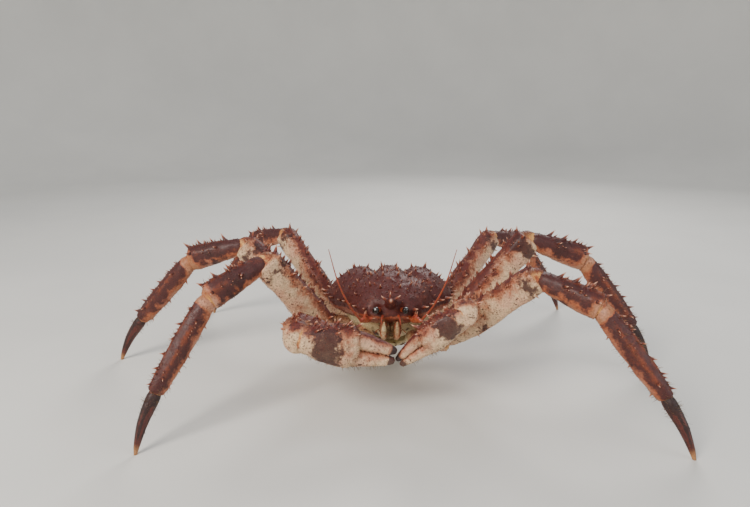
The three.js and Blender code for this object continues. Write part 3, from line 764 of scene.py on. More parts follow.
def helper_shapes():
    """The small shapes that Geometry Nodes repeat, made once, by the names of their inputs.
    Each profile is [height, radius, tip], then come its sides and how far it bends."""
    girth = sizes().thorn_girth
    thorn = [[-0.3, 1.25, 0], [0, 1, 0], [0.18, 0.72, 0.12], [0.5, 0.45, 0.45]]
    thorn += [[0.8, 0.22, 0.85], [1, 0.05, 1]]
    profiles = {
        "Thorn": ([[z, r * girth, tip] for z, r, tip in thorn], 8, 0.08),
        "Knob": ([[-0.3, 0.8, 0.2], [0.1, 0.8, 0.6], [0.45, 0.62, 0.9], [0.62, 0.25, 1]], 8, 0),
        "Grain": ([[-0.5, 0.95, 0], [0.2, 0.7, 0.1], [0.75, 0.3, 0.35]], 6, 0),
        "Bristle": ([[-0.1, 0.035, 0], [0.5, 0.03, 0.5], [1, 0.01, 1]], 3, 0.25),
    }
    return {
        name: bpy.data.objects.get(name.lower()) or turned_mesh(name.lower(), *profile)
        for name, profile in profiles.items()
    }


def settled(piece, node=None):
    """Hangs a finished piece on the root body and hides the solid it stands for."""
    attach(piece, "root")
    if node:
        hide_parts(node)


def dressed(
    node, finish, shape, places=(), knobs=(), grains=1.0, grain_size=1.0, hairs=0, extra=False
):
    """A finished piece: its surface with spines, knobs, grains and bristles. Grains are
    shares of the panel's values, hairs a number on a square metre. The piece stands for the
    solid of the same name, unless it is extra."""
    marks = {mark: shape.get(mark, np.zeros(len(shape["points"]))) for mark in MARKS}
    name = "fine_" + node
    surface = bpy.data.objects.new(name, mesh_of(name, shape["points"], shape["faces"], marks))
    bpy.context.collection.objects.link(surface)
    thorns = places_object("thorn_places", places)
    knob_points = places_object("knob_places", knobs)
    modifier = surface.modifiers.new("Spines", "NODES")
    modifier.node_group = thorn_tree()
    values = {
        **helper_shapes(),
        "Thorn Places": thorns,
        "Knob Places": knob_points,
        "Grain Density": sizes().grain_density * grains,
        "Grain Size": sizes().grain_size * grain_size,
        "Bristle Density": float(hairs),
        "Bristle Length": sizes().bristle_length,
        "Shell": shell_material(finish),
        "Hair": bristle_material(),
    }
    for item in thorn_tree().interface.items_tree:
        if item.in_out == "INPUT" and item.name in values:
            modifier[item.identifier] = values[item.name]
    bpy.context.view_layer.update()
    graph = bpy.context.evaluated_depsgraph_get()
    made = bpy.data.meshes.new_from_object(
        surface.evaluated_get(graph), preserve_all_data_layers=True, depsgraph=graph
    )
    surface.modifiers.remove(modifier)
    plain = surface.data
    surface.data = made
    made.name = name
    bpy.data.meshes.remove(plain)
    for helper in (thorns, knob_points):
        mesh = helper.data
        bpy.data.objects.remove(helper)
        bpy.data.meshes.remove(mesh)
    settled(surface, None if extra else node)


# Materials


def rgba(value):
    return (*value, 1.0)


# Noise in the shell's colours: scale per metre, detail, roughness
SHELL_NOISE = {
    "clouds": (26.0, 5.0, 0.62),
    "rosy": (38.0, 5.0, 0.6),
    "cloudy": (52.0, 5.0, 0.7),
    "flock": (70.0, 2.0, 0.55),
    "mottle": (95.0, 6.0, 0.68),
    "grain": (420.0, 3.0, 0.6),
    "specks": (430.0, 2.0, 0.4),
}
SPOTS_SCALE = 230.0
PITS_SCALE = 620.0


def shell_group():
    """Colours of crab shell: a dark top that breaks up into a pale underside, clouds,
    dark dots, maroon patches, soft joints and pale spine tips."""
    name = "Crab shell"
    if name in bpy.data.node_groups:
        return bpy.data.node_groups[name]
    tree = bpy.data.node_groups.new(name, "ShaderNodeTree")
    inputs = {
        "Color": ["Top", "Under", "Flush", "Blotch", "Dot", "Patch", "Joint", "Tip"],
        "Float": ["Split", "Blotch Amount", "Crest Amount", "Dot Amount", "Base Roughness"],
    }
    add_sockets(tree, "INPUT", inputs)
    add_sockets(tree, "OUTPUT", {"Color": ["Color"], "Float": ["Roughness", "Height"]})
    t = Tree(tree)
    given = t.add("NodeGroupInput")
    place = t.add("ShaderNodeTexCoord")["Object"]
    mark = {m: t.add("ShaderNodeAttribute", attribute_name=m)["Fac"] for m in MARKS[:5]}
    seen = {label: t.noise(place, *values) for label, values in SHELL_NOISE.items()}
    clouds, mottle, grain = seen["clouds"], seen["mottle"], seen["grain"]

    # The dark top ends in a ragged line, with a rosy tint in the pale shell below it: partly the
    # shell's own tint and partly painted shade, the pinkish cast pale shell takes in shade, laid in
    # random clouds
    ragged = t.math("ADD", mark["upper"], t.swing(clouds, 2.4))
    ragged = t.math("ADD", ragged, t.swing(mottle, 2.2))
    offset = t.math("SUBTRACT", ragged, given["Split"])
    # Painted shade in part: the flush tint copies the pinkish cast of the pale shell in shade
    shade = t.mix(t.between(seen["rosy"], 0.42, 0.68, 0.0, 0.7), given["Under"], given["Flush"])
    shade = t.mix(t.times(t.between(offset, -0.75, 0.05), 0.75), shade, given["Blotch"])
    shade = t.mix(t.between(offset, -0.12, 0.42), shade, given["Top"])
    cloudy = t.between(seen["cloudy"], 0.52, 0.68)
    shade = t.mix(t.times(cloudy, given["Blotch Amount"]), shade, given["Blotch"])
    crest = t.times(mark["ridge"], t.between(mottle, 0.38, 0.62))
    shade = t.mix(t.times(crest, given["Crest Amount"]), shade, given["Blotch"])

    # Specks and round dots, in flocks
    specks = t.between(seen["specks"], 0.585, 0.65)
    spots = t.add("ShaderNodeTexVoronoi", {"Vector": place, "Scale": SPOTS_SCALE})
    pick = t.add("ShaderNodeSeparateColor", {0: spots["Color"]})
    inside = t.math("SUBTRACT", spots["Distance"], t.times(pick[1], 0.3))
    round_spots = t.times(t.between(inside, 0.14, 0.0), t.between(pick[0], 0.46, 0.52))
    flock = t.between(seen["flock"], 0.4, 0.62, 0.25, 1.0)
    dots = t.times(t.math("MAXIMUM", specks, round_spots), flock)
    shade = t.mix(t.times(dots, given["Dot Amount"]), shade, given["Dot"])

    # Patches, joints and spine tips, where the points are marked
    worn = t.math("ADD", t.swing(mottle, 1.9), t.swing(clouds, 2.2))
    patch = t.between(t.math("ADD", mark["patch"], worn), 0.34, 0.72)
    shade = t.mix(t.times(patch, 0.92), shade, given["Patch"])
    stain = t.mix(t.between(mottle, 0.44, 0.62), given["Joint"], given["Blotch"])
    shade = t.mix(t.times(mark["joint"], 0.9), shade, stain)
    shade = t.mix(t.between(mark["tip"], 0.05, 0.5, 0.0, 0.55), shade, given["Blotch"])
    shade = t.mix(t.between(mark["tip"], 0.42, 0.95), shade, given["Tip"])
    values = {"Color": shade, "Value": t.between(grain, 0.3, 0.75, 0.74, 1.16)}
    shade = t.add("ShaderNodeHueSaturation", values)["Color"]

    rough = t.math("ADD", given["Base Roughness"], t.between(mottle, 0.3, 0.7, -0.1, 0.16))
    pits = t.add("ShaderNodeTexVoronoi", {"Vector": place, "Scale": PITS_SCALE})["Distance"]
    height = t.times(grain, 0.7)
    for layer, share in ((dots, 0.4), (pits, -0.6), (mottle, 0.8)):
        height = t.math("ADD", height, t.times(layer, share))
    t.add("NodeGroupOutput", {"Color": shade, "Roughness": rough, "Height": height})
    return tree


def new_material(name):
    material = bpy.data.materials.new(name)
    material.use_nodes = True
    return material, Tree(material.node_tree), material.node_tree.nodes["Principled BSDF"]


# What each finish gives the shell group: names of colours, and shares
COMMON_FINISH = {
    "Flush": "flush", "Blotch": "blotch", "Dot": "dots", "Patch": "patch", "Joint": "joint",
    "Tip": "spine", "Crest Amount": 0.3, "Base Roughness": 0.54,
}
FINISHES = {
    "back shell": {
        "Top": "back", "Under": "back_blotch", "Split": 0.0,
        "Blotch Amount": 0.35, "Dot Amount": 0.55,
    },
    "inner limb shell": {
        "Top": "limb_top", "Under": "limb_under", "Split": 0.5,
        "Blotch Amount": 0.42, "Dot Amount": 0.9,
    },
    "outer limb shell": {
        "Top": "shank", "Under": "shank_under", "Split": -0.5,
        "Blotch Amount": 0.18, "Dot Amount": 0.5, "Crest Amount": 0.6,
    },
    "pincer shell": {
        "Top": "limb_top", "Under": "limb_under", "Split": 0.62,
        "Blotch Amount": 0.5, "Dot Amount": 1.0,
    },
    "pale shell": {
        "Top": "limb_top", "Under": "cream", "Split": 0.75,
        "Blotch Amount": 0.3, "Dot Amount": 0.3, "Flush": "cream",
    },
    "claw horn": {
        "Top": "horn", "Under": "shank", "Split": 0.25, "Blotch Amount": 0.25,
        "Dot Amount": 0.25, "Flush": "horn", "Blotch": "claw", "Tip": "horn_tip",
    },
    "finger shell": {
        "Top": "limb_top", "Under": "limb_under", "Split": 0.35,
        "Blotch Amount": 0.75, "Dot Amount": 0.6, "Tip": "horn",
    },
    "mouth shell": {
        "Top": "feeler", "Under": "cream", "Split": -0.3, "Blotch Amount": 0.6,
        "Dot Amount": 0.4, "Flush": "blotch", "Crest Amount": 1.0,
    },
    "feeler skin": {
        "Top": "feeler", "Under": "blotch", "Split": 0.2,
        "Blotch Amount": 0.3, "Dot Amount": 0.25, "Flush": "feeler",
    },
}


def shell_material(name):
    """A shell finish from the shared group with its own colours."""
    if name in bpy.data.materials:
        return bpy.data.materials[name]
    material, t, shader = new_material(name)
    group = material.node_tree.nodes.new("ShaderNodeGroup")
    group.node_tree = shell_group()
    for socket, value in {**COMMON_FINISH, **FINISHES[name]}.items():
        if isinstance(value, str):
            value = rgba(getattr(colours(), value))
        group.inputs[socket].default_value = value
    links = material.node_tree.links
    links.new(group.outputs["Color"], shader.inputs["Base Color"])
    links.new(group.outputs["Roughness"], shader.inputs["Roughness"])
    values = {"Height": group.outputs["Height"], "Strength": 0.7, "Distance": 0.7 * MM}
    links.new(t.add("ShaderNodeBump", values)["Normal"], shader.inputs["Normal"])
    shader.inputs["Coat Weight"].default_value = 0.08
    shader.inputs["Coat Roughness"].default_value = 0.3
    shader.inputs["Subsurface Weight"].default_value = 0.04
    shader.inputs["Subsurface Radius"].default_value = (4 * MM, 1.5 * MM, 1 * MM)
    return material


def bristle_material():
    if "bristle" in bpy.data.materials:
        return bpy.data.materials["bristle"]
    material, t, shader = new_material("bristle")
    place = t.add("ShaderNodeTexCoord")["Object"]
    base = rgba(colours().bristle)
    dark = rgba([v * 0.25 for v in colours().bristle])
    shade = t.mix(t.between(t.noise(place, 300.0), 0.35, 0.65), base, dark)
    material.node_tree.links.new(shade, shader.inputs["Base Color"])
    shader.inputs["Roughness"].default_value = 0.55
    return material


def eye_material():
    if "eye facets" in bpy.data.materials:
        return bpy.data.materials["eye facets"]
    material, t, shader = new_material("eye facets")
    place = t.add("ShaderNodeTexCoord")["Object"]
    facets = t.add("ShaderNodeTexVoronoi", {"Vector": place, "Scale": 2600.0})["Distance"]
    dark, warm = (0.003, 0.002, 0.002, 1), (0.02, 0.009, 0.006, 1)
    shade = t.mix(t.between(facets, 0.2, 0.6), warm, dark)
    links = material.node_tree.links
    links.new(shade, shader.inputs["Base Color"])
    values = {"Height": facets, "Strength": 0.25, "Distance": 0.0002}
    links.new(t.add("ShaderNodeBump", values)["Normal"], shader.inputs["Normal"])
    shader.inputs["Roughness"].default_value = 0.12
    shader.inputs["Coat Weight"].default_value = 0.6
    shader.inputs["Coat Roughness"].default_value = 0.04
    return material


# Pieces


def relief(across, forward):
    """Swellings and furrows of the back, at places given in half shell lengths."""
    u = np.abs(across)

    def hill(height, x, y, wide, long):
        return height * bell(u, x, wide) * bell(forward, y, long)

    neck = forward - 0.02 - 0.6 * u * u
    gill = smoothstep(-forward, -0.05, 0.12)
    return (
        hill(9, 0, 0.42, 0.36, 0.32)
        + hill(6, 0, -0.38, 0.2, 0.26)
        + hill(9, 0.62, -0.3, 0.3, 0.42)
        + hill(4, 0.55, 0.5, 0.16, 0.2)
        - 6 * bell(neck, 0, 0.09)
        - 5 * gill * bell(u, 0.27, 0.08)
    )


def shell_points(angle, fall):
    """Points of the back shell, in the body's frame."""
    angle, fall = np.broadcast_arrays(np.asarray(angle, float), np.asarray(fall, float))
    degrees = np.abs(np.degrees(angle))
    radius = np.vectorize(lambda d: smooth(SHELL_OUTLINE, d)[0])(degrees)
    share = np.sin(fall) ** SHELL_FULLNESS
    across, forward = radius * share * np.sin(angle), radius * share * np.cos(angle)
    level = np.cos(fall)
    bumps = relief(across / HALF, forward / HALF) * (1 - share**6)
    rise = np.where(level > 0, DOME * np.abs(level) ** 0.85 + bumps, UNDER_RIM * level)
    return np.stack([across, -forward, RIM + rise], -1)


def on_shell(across, forward):
    """A foot on the back over a point of the plan, with the way out."""
    angle = math.atan2(across, forward)
    radius = smooth(SHELL_OUTLINE, abs(math.degrees(angle)))[0]
    share = min(math.hypot(across, forward) / radius, 1)
    fall = math.asin(share ** (1 / SHELL_FULLNESS))
    foot = Vector(shell_points(angle, fall))
    down = Vector(shell_points(angle, min(fall + 0.02, 1.62)) - shell_points(angle, fall - 0.02))
    turn = Vector(shell_points(angle + 0.02, fall) - shell_points(angle - 0.02, fall))
    return foot, down.cross(turn).normalized()


def outline_at(angle):
    """The back shell's radius at any angle from the front."""
    turned = math.atan2(math.sin(angle), math.cos(angle))
    return smooth(SHELL_OUTLINE, abs(math.degrees(turned)))[0]


def shell_places():
    """Spines of the back, of its edge, and finer ones between them over the whole back."""
    draw = dice(11)
    made = []

    def add(across, forward, size, lean, varied=True):
        foot, out = on_shell(across, forward)
        grown = size * (1 + draw() * 0.15) if varied else size
        made.append((foot, (out + Vector(lean)).normalized(), grown, 1.0))

    for side in (-1, 1):
        for across, forward, size in BACK_SPINES:
            place = [across + draw() * 0.015, forward + draw() * 0.015]
            add(side * place[0] * HALF, place[1] * HALF, size, (0, -0.25, 0.2))
        first, last = EDGE_SPINES["first"], EDGE_SPINES["last"]
        for i in range(EDGE_SPINES["count"]):
            degrees = first + (last - first) * i / (EDGE_SPINES["count"] - 1) + draw() * 1.5
            angle = math.radians(degrees) * side
            reach = smooth(SHELL_OUTLINE, degrees)[0] * 0.995
            across, forward = math.sin(angle) * reach, math.cos(angle) * reach
            add(across, forward, EDGE_SPINES["size"], (0, -0.3, 0.25))
    main = len(made)
    golden = math.pi * (3 - math.sqrt(5))
    for i in range(FINE_SPINES):
        angle = i * golden + draw() * 0.1
        reach = math.sqrt((i + 0.5) / FINE_SPINES) * 0.97 * outline_at(angle)
        across, forward = math.sin(angle) * reach, math.cos(angle) * reach
        near = min(math.hypot(across - foot.x, forward + foot.y) for foot, *_ in made[:main])
        if near > FINE_SPINE_CLEAR:
            add(across, forward, 3.4 + 1.2 * draw(), (0, -0.25, 0.1), False)
    return made


def back_shell_shape():
    """The back shell with its orbits, and the swollen foot under each spine."""
    columns, top_rows, rim_rows = 168, 50, 34
    rows = top_rows + rim_rows
    angles = np.linspace(-math.pi, math.pi, columns, endpoint=False)
    edge = math.acos(-(RIM - SPLIT - HALF_GAP) / UNDER_RIM)
    falls = np.concatenate([np.linspace(0.015, 1.3, top_rows), np.linspace(1.32, edge, rim_rows)])
    grid = shell_points(angles[None, :], falls[:, None])
    points = np.concatenate([grid.reshape(-1, 3), [shell_points(0, 0.0)], [grid[-1].mean(0)]])
    outs = points - np.array([0, 0, RIM - 10])
    outs /= np.linalg.norm(outs, axis=1)[:, None]
    for foot, out, size, _ in shell_places():
        away = np.linalg.norm(points - np.array(foot), axis=1)
        points = points + np.array(out) * (0.13 * size * bell(away, 0, 0.42 * size))[:, None]
    for side in (-1, 1):
        away = np.linalg.norm(points - np.array([side * ORBIT[0], *ORBIT[1:]]), axis=1)
        points[:, 1] += ORBIT_DEPTH * bell(away, 0, ORBIT_WIDTH)
    points[:-1] = waved(points[:-1], outs[:-1], 1.3 * sizes().lumpiness / MM, BODY_WAVES)
    fall = np.concatenate([np.repeat(falls, columns), [0, edge]])
    return {
        "points": points,
        "faces": grid_faces(rows, columns),
        "upper": 1 - 1.9 * smoothstep(fall, 1.45, 1.9),
    }


def make_back_shell():
    root = aim(BEAK_ROOT, 1, 90, BEAK_SLOPE)
    beak = placed(limb_shape(BEAK, 26, 20, lumps=0.4), root)
    beak["upper"] = np.ones(len(beak["points"]))
    beak["tip"] = smoothstep(beak["share"], 0.7, 1.05)
    places = shell_places() + places_in(thorn_places(BEAK, 1, 5, False), root)
    whole = placed(joined([back_shell_shape(), beak]), BODY)
    dressed("back_shell", "back shell", whole, places_in(places, BODY), grains=1.6)


def make_breast():
    columns, rows = 96, 44
    angles = np.linspace(-math.pi, math.pi, columns, endpoint=False)
    top = (SPLIT - HALF_GAP - BREAST_TOP) / BREAST_DEPTH
    levels = np.sin(np.linspace(math.asin(top), -1.55, rows))
    radius = np.array([smooth(BREAST_OUTLINE, abs(math.degrees(a)))[0] for a in angles])
    reach = (np.sqrt(1 - levels**2) ** 1.5)[:, None] * radius[None, :]
    seams = sum(bell(np.abs(np.degrees(angles)), degrees, 5) for degrees in BREAST_SEAMS)
    seams = seams + bell(np.degrees(angles), 0, 4)
    reach = reach - 2.2 * seams[None, :] * np.clip(1 - levels**2, 0, 1)[:, None]
    level = np.repeat((BREAST_TOP + BREAST_DEPTH * levels)[:, None], columns, 1)
    grid = np.stack([reach * np.sin(angles), -reach * np.cos(angles), level], -1)
    ends = [grid[0].mean(0), grid[-1].mean(0) - [0, 0, 0.2]]
    points = np.concatenate([grid.reshape(-1, 3), ends])
    dark = np.tile(np.clip(seams, 0, 1) * 0.55, rows)
    shape = {
        "points": points,
        "faces": grid_faces(rows, columns),
        "patch": np.concatenate([dark, [0, 0]]),
    }
    shape = placed(shape, BODY)
    dressed("breast", "pale shell", shape, grains=0.8, grain_size=0.7)


def flap_point(share, across, upper):
    """A point of the flap: across runs from -1 to 1, upper from the belly at 1 to the
    outer side at -1."""
    last = len(FLAP) - 1
    keys = [[i / last, *station] for i, station in enumerate(FLAP)]
    forward, level, width, thick = smooth(keys, share)
    ahead, behind = smooth(keys, min(share + 0.02, 1)), smooth(keys, max(share - 0.02, 0))
    run = Vector((ahead[0] - behind[0], ahead[1] - behind[1])).normalized()
    return Vector((width * across, -(forward - run.y * thick * upper), level + run.x * thick * upper))


def make_tail_flap():
    rings, sides = 170, 44
    angles = around(sides)
    across, upper = power(np.sin(angles), FLAP_CURVE), power(np.cos(angles), FLAP_CURVE)
    steps = np.linspace(0, 1, rings)
    seams = sum(bell(steps, seam, 0.007) for seam in FLAP_SEAMS)
    points = []
    for step, seam in zip(steps, seams):
        drawn = 1 - 0.13 * seam
        points += [flap_point(step, a * (1 - 0.03 * seam), u * drawn) for a, u in zip(across, upper)]
    points += [flap_point(0, 0, 0), flap_point(1, 0, 0)]
    points = np.array([list(p) for p in points])
    share = np.concatenate([np.repeat(steps, sides), [0, 1]])
    edge = np.abs(np.concatenate([np.tile(across, rings), [0, 0]]))
    seam_line = np.concatenate([np.repeat(seams, sides), [0, 0]])
    base = {
        "points": points,
        "faces": grid_faces(rings, sides),
        "upper": 1.4 - 2.4 * smoothstep(share, 0.3, 0.42),
        "patch": np.maximum(0.35 * smoothstep(share, 0.25, 0.4), 0.9 * seam_line),
        "hairy": smoothstep(edge, 0.9, 0.98),
    }
    shapes = [base]
    for share, out, long, wide in FLAP_PLATES:
        for side in (-1, 1) if out else (1,):
            middle = flap_point(share, side * out, -0.82)
            down = (flap_point(share, side * out, -2) - middle).normalized()
            along = (flap_point(share + 0.03, side * out, -0.82) - middle).normalized()
            edge = down.cross(along).normalized()
            basis = Matrix((along, edge, along.cross(edge))).transposed().to_4x4()
            shapes.append(placed(plate_shape(long, wide), Matrix.Translation(middle) @ basis))
    draw = dice(17)
    places = []
    for i in range(FLAP_SPINES):
        share, out = 0.05 + 0.27 * (i % 4) / 3 + draw() * 0.02, 0.95 * draw()
        foot = flap_point(share, out, -0.96)
        way = (flap_point(share, out, -2) - foot).normalized()
        places.append((foot, way, 3.6 + 1.4 * draw(), 1.0))
    whole, places = placed(joined(shapes), BODY), places_in(places, BODY)
    dressed("tail_flap", "pale shell", whole, places, grains=1.4, hairs=60000)


def plate_shape(long, wide):
    """A low domed plate with a dark seam round its edge."""
    columns, falls = 32, np.linspace(0.06, np.pi - 0.06, 17)
    turn = around(columns)
    radius = power(np.sin(falls), 0.6)
    x = long * radius[:, None] * np.cos(turn)
    y = wide * radius[:, None] * np.sin(turn)
    z = np.repeat((PLATE_RISE * np.cos(falls))[:, None], columns, 1)
    grid = np.stack([x, y, z], -1).reshape(-1, 3)
    points = np.concatenate([grid, [[0, 0, PLATE_RISE], [0, 0, -PLATE_RISE]]])
    faces = grid_faces(len(falls), columns)
    seam = np.concatenate([np.repeat(smoothstep(radius, 0.93, 1.0), columns), [0, 0]])
    return {"points": points, "faces": faces, "patch": seam}


def leg_frames(leg, stance, merus_slope):
    side, turn, flex = (STANCE[stance][k] for k in ("side", "turn", "flex"))
    i = leg["pair"] - 1
    origin = in_body(side, *leg["root"])
    made = []
    for order, (name, shape) in enumerate(LEG_PIECES.items()):
        slope = merus_slope if name == "merus" else leg["slope"][name]
        slope += flex[i] if order > 1 else 0
        piece = scaled(shape, leg["size"])
        matrix = aim(origin, side, leg["azimuth"][order] + turn[i], slope)
        made.append((name, piece, matrix))
        origin = matrix @ Vector((piece["reach"], 0, 0))
    return made


def standing_frames(leg, stance):
    """The frames at the merus slope that puts the claw tip just below the floor."""
    low, high = 0.0, 80.0
    for _ in range(40):
        middle = (low + high) / 2
        _, piece, matrix = leg_frames(leg, stance, middle)[-1]
        if (matrix @ limb_point(piece, 1, 0, 0)).z > -FOOT_DEPTH:
            high = middle
        else:
            low = middle
    return leg_frames(leg, stance, (low + high) / 2)


def leg_marks(name, shape, side):
    """Where a leg piece is dark, hairy or horny."""
    share, turn = shape["share"], shape["turn"]
    front = -side * np.sin(turn)
    if name == "base":
        shape["upper"] = shape["upper"] - 0.7
    if name == "merus":
        knee = bell(share, 0.86, 0.06) * smoothstep(front, -0.2, 0.7)
        shape["patch"] = shape["patch"] + 0.75 * knee
        shape["hairy"] = 0.25 * shape["ridge"]
    if name == "carpus":
        middle = bell(share, 0.48, 0.3) * smoothstep(front, -0.3, 0.6)
        shape["patch"] = shape["patch"] + 0.6 * middle
        shape["upper"] = shape["upper"] - 1.2 * smoothstep(share, 0.78, 0.9)
        shape["hairy"] = 0.6 * shape["ridge"]
    if name == "propodus":
        pale = 1 - smoothstep(share, 0.07, 0.14)
        shape["upper"] = shape["upper"] - 2.2 * pale
        fringe = smoothstep(share, 0.75, 0.95) * (shape["joint"] < 0.1)
        shape["hairy"] = np.maximum(fringe, shape["ridge"])
    if name == "claw":
        shape["tip"] = smoothstep(share, 0.62, 0.96) * 0.9
        grooves = np.sin(turn * 3) ** 2 * smoothstep(share, 0.1, 0.3)
        shape["upper"] = 0.3 * shape["upper"] + 0.9 - 0.9 * grooves
        shape["patch"] = 0.6 * smoothstep(share, 0.94, 0.99)
        shape["hairy"] = (1 - smoothstep(share, 0.15, 0.5)) * smoothstep(share, 0.08, 0.14)
    return shape


def standing_flat(points, matrix):
    """Claw tips end on the floor: what would reach below it slides back up the claw."""
    along = np.array(matrix.to_3x3().col[0])
    below = np.minimum(points[:, 2] - 0.05, 0)
    return points - along * (below / along[2])[:, None]


def make_walking_legs():
    for stance, leg in itertools.product(("right", "left"), LEGS):
        side = STANCE[stance]["side"]
        for i, (name, piece, matrix) in enumerate(standing_frames(leg, stance)):
            rim, seams = LEG_RIMS.get(name, 0), LEG_SEAMS.get(name, ())
            lumps = 0.2 if name == "claw" else 1.0
            shape = limb_shape(piece, side=side, rim=rim, seams=seams, lumps=lumps)
            shape = placed(leg_marks(name, shape, side), matrix)
            if name == "claw":
                shape["points"] = standing_flat(shape["points"], matrix)
            places = thorn_places(piece, side, 100 * leg["pair"] + 10 * i + side)
            node = f"{stance}_leg_{leg['pair']}_{name}"
            slot, finish, grains, hairs = LEG_DRESS[name]
            dressed(
                node, finish, shape, places_in(places, matrix),
                grains=grains, grain_size=0.8, hairs=hairs,
            )


def arm_piece(reach, knob, width, depth, rows):
    keys = [
        [0, width * 0.65, depth * 0.6], [0.12, width * 0.85, depth * 0.82],
        [0.55, width, depth], [0.88, width, depth * 0.98], [1, width * 0.6, depth * 0.62],
    ]
    return {"reach": reach, "knob": knob, "keys": keys, "rows": rows}


def pincer_finger(finger, size, wide):
    """A finger of the pincer, with its place on the hand."""
    keys = [[0, 8.5, 9], [0.15, 10, 11], [0.55, 8, 8.5], [0.88, 5.5, 6], [1, 3, 3.2]]
    keys = [[s, w * size * wide, d * size * wide] for s, w, d in keys]
    along, level = finger["root"]
    root = aim(Vector((along * size, 0, level * size * wide)), 1, 0, finger["slope"])
    return {"reach": finger["reach"] * size, "knob": 0, "keys": keys}, root


def pincer_hand(size, wide):
    keys = [
        [0, 9, 10], [0.1, 13 * wide, 16 * wide], [0.5, 17 * wide, 25 * wide],
        [0.85, 16 * wide, 26 * wide], [1, 11 * wide, 20 * wide],
    ]
    return {
        "reach": 74 * size, "knob": 4 * size,
        "keys": [[s, w * size, d * size] for s, w, d in keys],
        "rows": ARM_ROWS["hand"],
    }


def finger_shape(piece, lower):
    """A finger with worn teeth on its biting edge and a horn tip."""
    shape = limb_shape(piece, 34, 28, lumps=0.7)
    shape["tip"] = smoothstep(shape["share"], 0.72, 0.9)
    bite = 1 if lower else -1
    facing = np.cos(shape["turn"]) * bite
    shape["hairy"] = smoothstep(-facing, 0.0, 0.6) * (1 - smoothstep(shape["share"], 0.5, 0.8))
    teeth = []
    for i in range(7):
        foot = limb_point(piece, 0.3 + 0.09 * i, 0 if lower else math.pi, 0.97)
        size = (3.4 - 0.25 * i) * piece["reach"] / FIXED_FINGER["reach"]
        teeth.append((foot, Vector((0, 0, bite)), size, 0.0))
    return shape, teeth


def hand_with_finger(shape, size, wide):
    """Marks of the palm, and its fixed finger. Also gives the finger's teeth."""
    share, turn = shape["share"], shape["turn"]
    shape["joint"] = 1 - smoothstep(share, 0.035, 0.06)
    face = bell(share, 0.42, 0.24) * smoothstep(np.abs(np.sin(turn)), 0.25, 0.8)
    shape["patch"] = shape["patch"] + 0.85 * face
    shape["hairy"] = 0.5 * (1 - face) + 0.4 * smoothstep(share, 0.7, 0.95)
    piece, root = pincer_finger(FIXED_FINGER, size, wide)
    fixed, teeth = finger_shape(piece, True)
    fixed["patch"], fixed["tip"] = fixed["tip"] * 0.95, np.zeros(len(fixed["tip"]))
    return joined([shape, placed(fixed, root)]), places_in(teeth, root)


def make_arm(name, side, size, wide, root, aims):
    pieces = {
        "base": arm_piece(46, 8, 12.5, 13.5, ARM_ROWS["base"]),
        "merus": arm_piece(84 * size, 9, 15 * size, 19 * size, ARM_ROWS["merus"]),
        "carpus": arm_piece(46 * size, 9, 16 * size, 19 * size, ARM_ROWS["carpus"]),
        "hand": pincer_hand(size, wide),
    }
    origin = in_body(side, *root)
    for i, (part, piece) in enumerate(pieces.items()):
        matrix = aim(origin, side, *aims[i])
        shape = limb_shape(piece, side=side, rim=ARM_RIMS[part])
        places = thorn_places(piece, side, 40 + i + side)
        teeth = []
        if part == "carpus":
            wrist = smoothstep(shape["share"], 0.93, 0.985)
            shape["upper"] = shape["upper"] - 0.9 * wrist
            shape["hairy"] = 0.4 * shape["ridge"] + 0.3 * wrist
        if part == "hand":
            shape, teeth = hand_with_finger(shape, size, wide)
        dressed(
            f"{name}_{part}", ARM_FINISHES[part], placed(shape, matrix),
            places_in(places, matrix), places_in(teeth, matrix),
            grains=1.6, grain_size=0.9, hairs=90000 if part == "hand" else 40000,
        )
        origin = matrix @ Vector((piece["reach"], 0, 0))
    piece, root = pincer_finger(MOVING_FINGER, size, wide)
    shape, teeth = finger_shape(piece, False)
    matrix = matrix @ root
    dressed(
        f"{name}_finger", "finger shell", placed(shape, matrix),
        knobs=places_in(teeth, matrix), grain_size=0.8, hairs=40000,
    )


def ringed(shape, piece, every, depth):
    """Fine rings cut round a whip."""
    points = shape["points"]
    length = piece["reach"]
    for i, share in enumerate(shape["share"]):
        notch = 1 - depth * (0.5 + 0.5 * math.cos(2 * math.pi * share * length / every))
        lift = (*smooth(piece["keys"], share), 0)[2]
        points[i, 1] *= notch
        points[i, 2] = lift + (points[i, 2] - lift) * notch
    return shape


def head_frame(name, side):
    root, way = HEAD_PLACES[name]
    return aim(in_body(side, *root), side, *way)


def make_eye(word, side):
    """A short stalk, and the dark ball that sits on it as a piece of its own."""
    matrix = head_frame("eye", side)
    stalk = placed(limb_shape(EYE, 40, 28, lumps=0.1), matrix)
    dressed(
        f"{word}_eye_stalk", "feeler skin", stalk,
        grains=0.6, grain_size=0.4, extra=True,
    )
    ball = limb_shape(EYE, 40, 32, lumps=0)
    x = ball["points"][:, 0] / EYE["reach"]
    grown = 1 + 0.06 * smoothstep(x, 0.55, 0.62)
    ball["points"][:, 1:] *= np.where(x > 0.55, grown, 0.8)[:, None]
    mesh = mesh_of(f"fine_{word}_eye", placed(ball, matrix)["points"], ball["faces"])
    mesh.materials.append(eye_material())
    eye = bpy.data.objects.new(mesh.name, mesh)
    bpy.context.collection.objects.link(eye)
    settled(eye, f"{word}_eye")


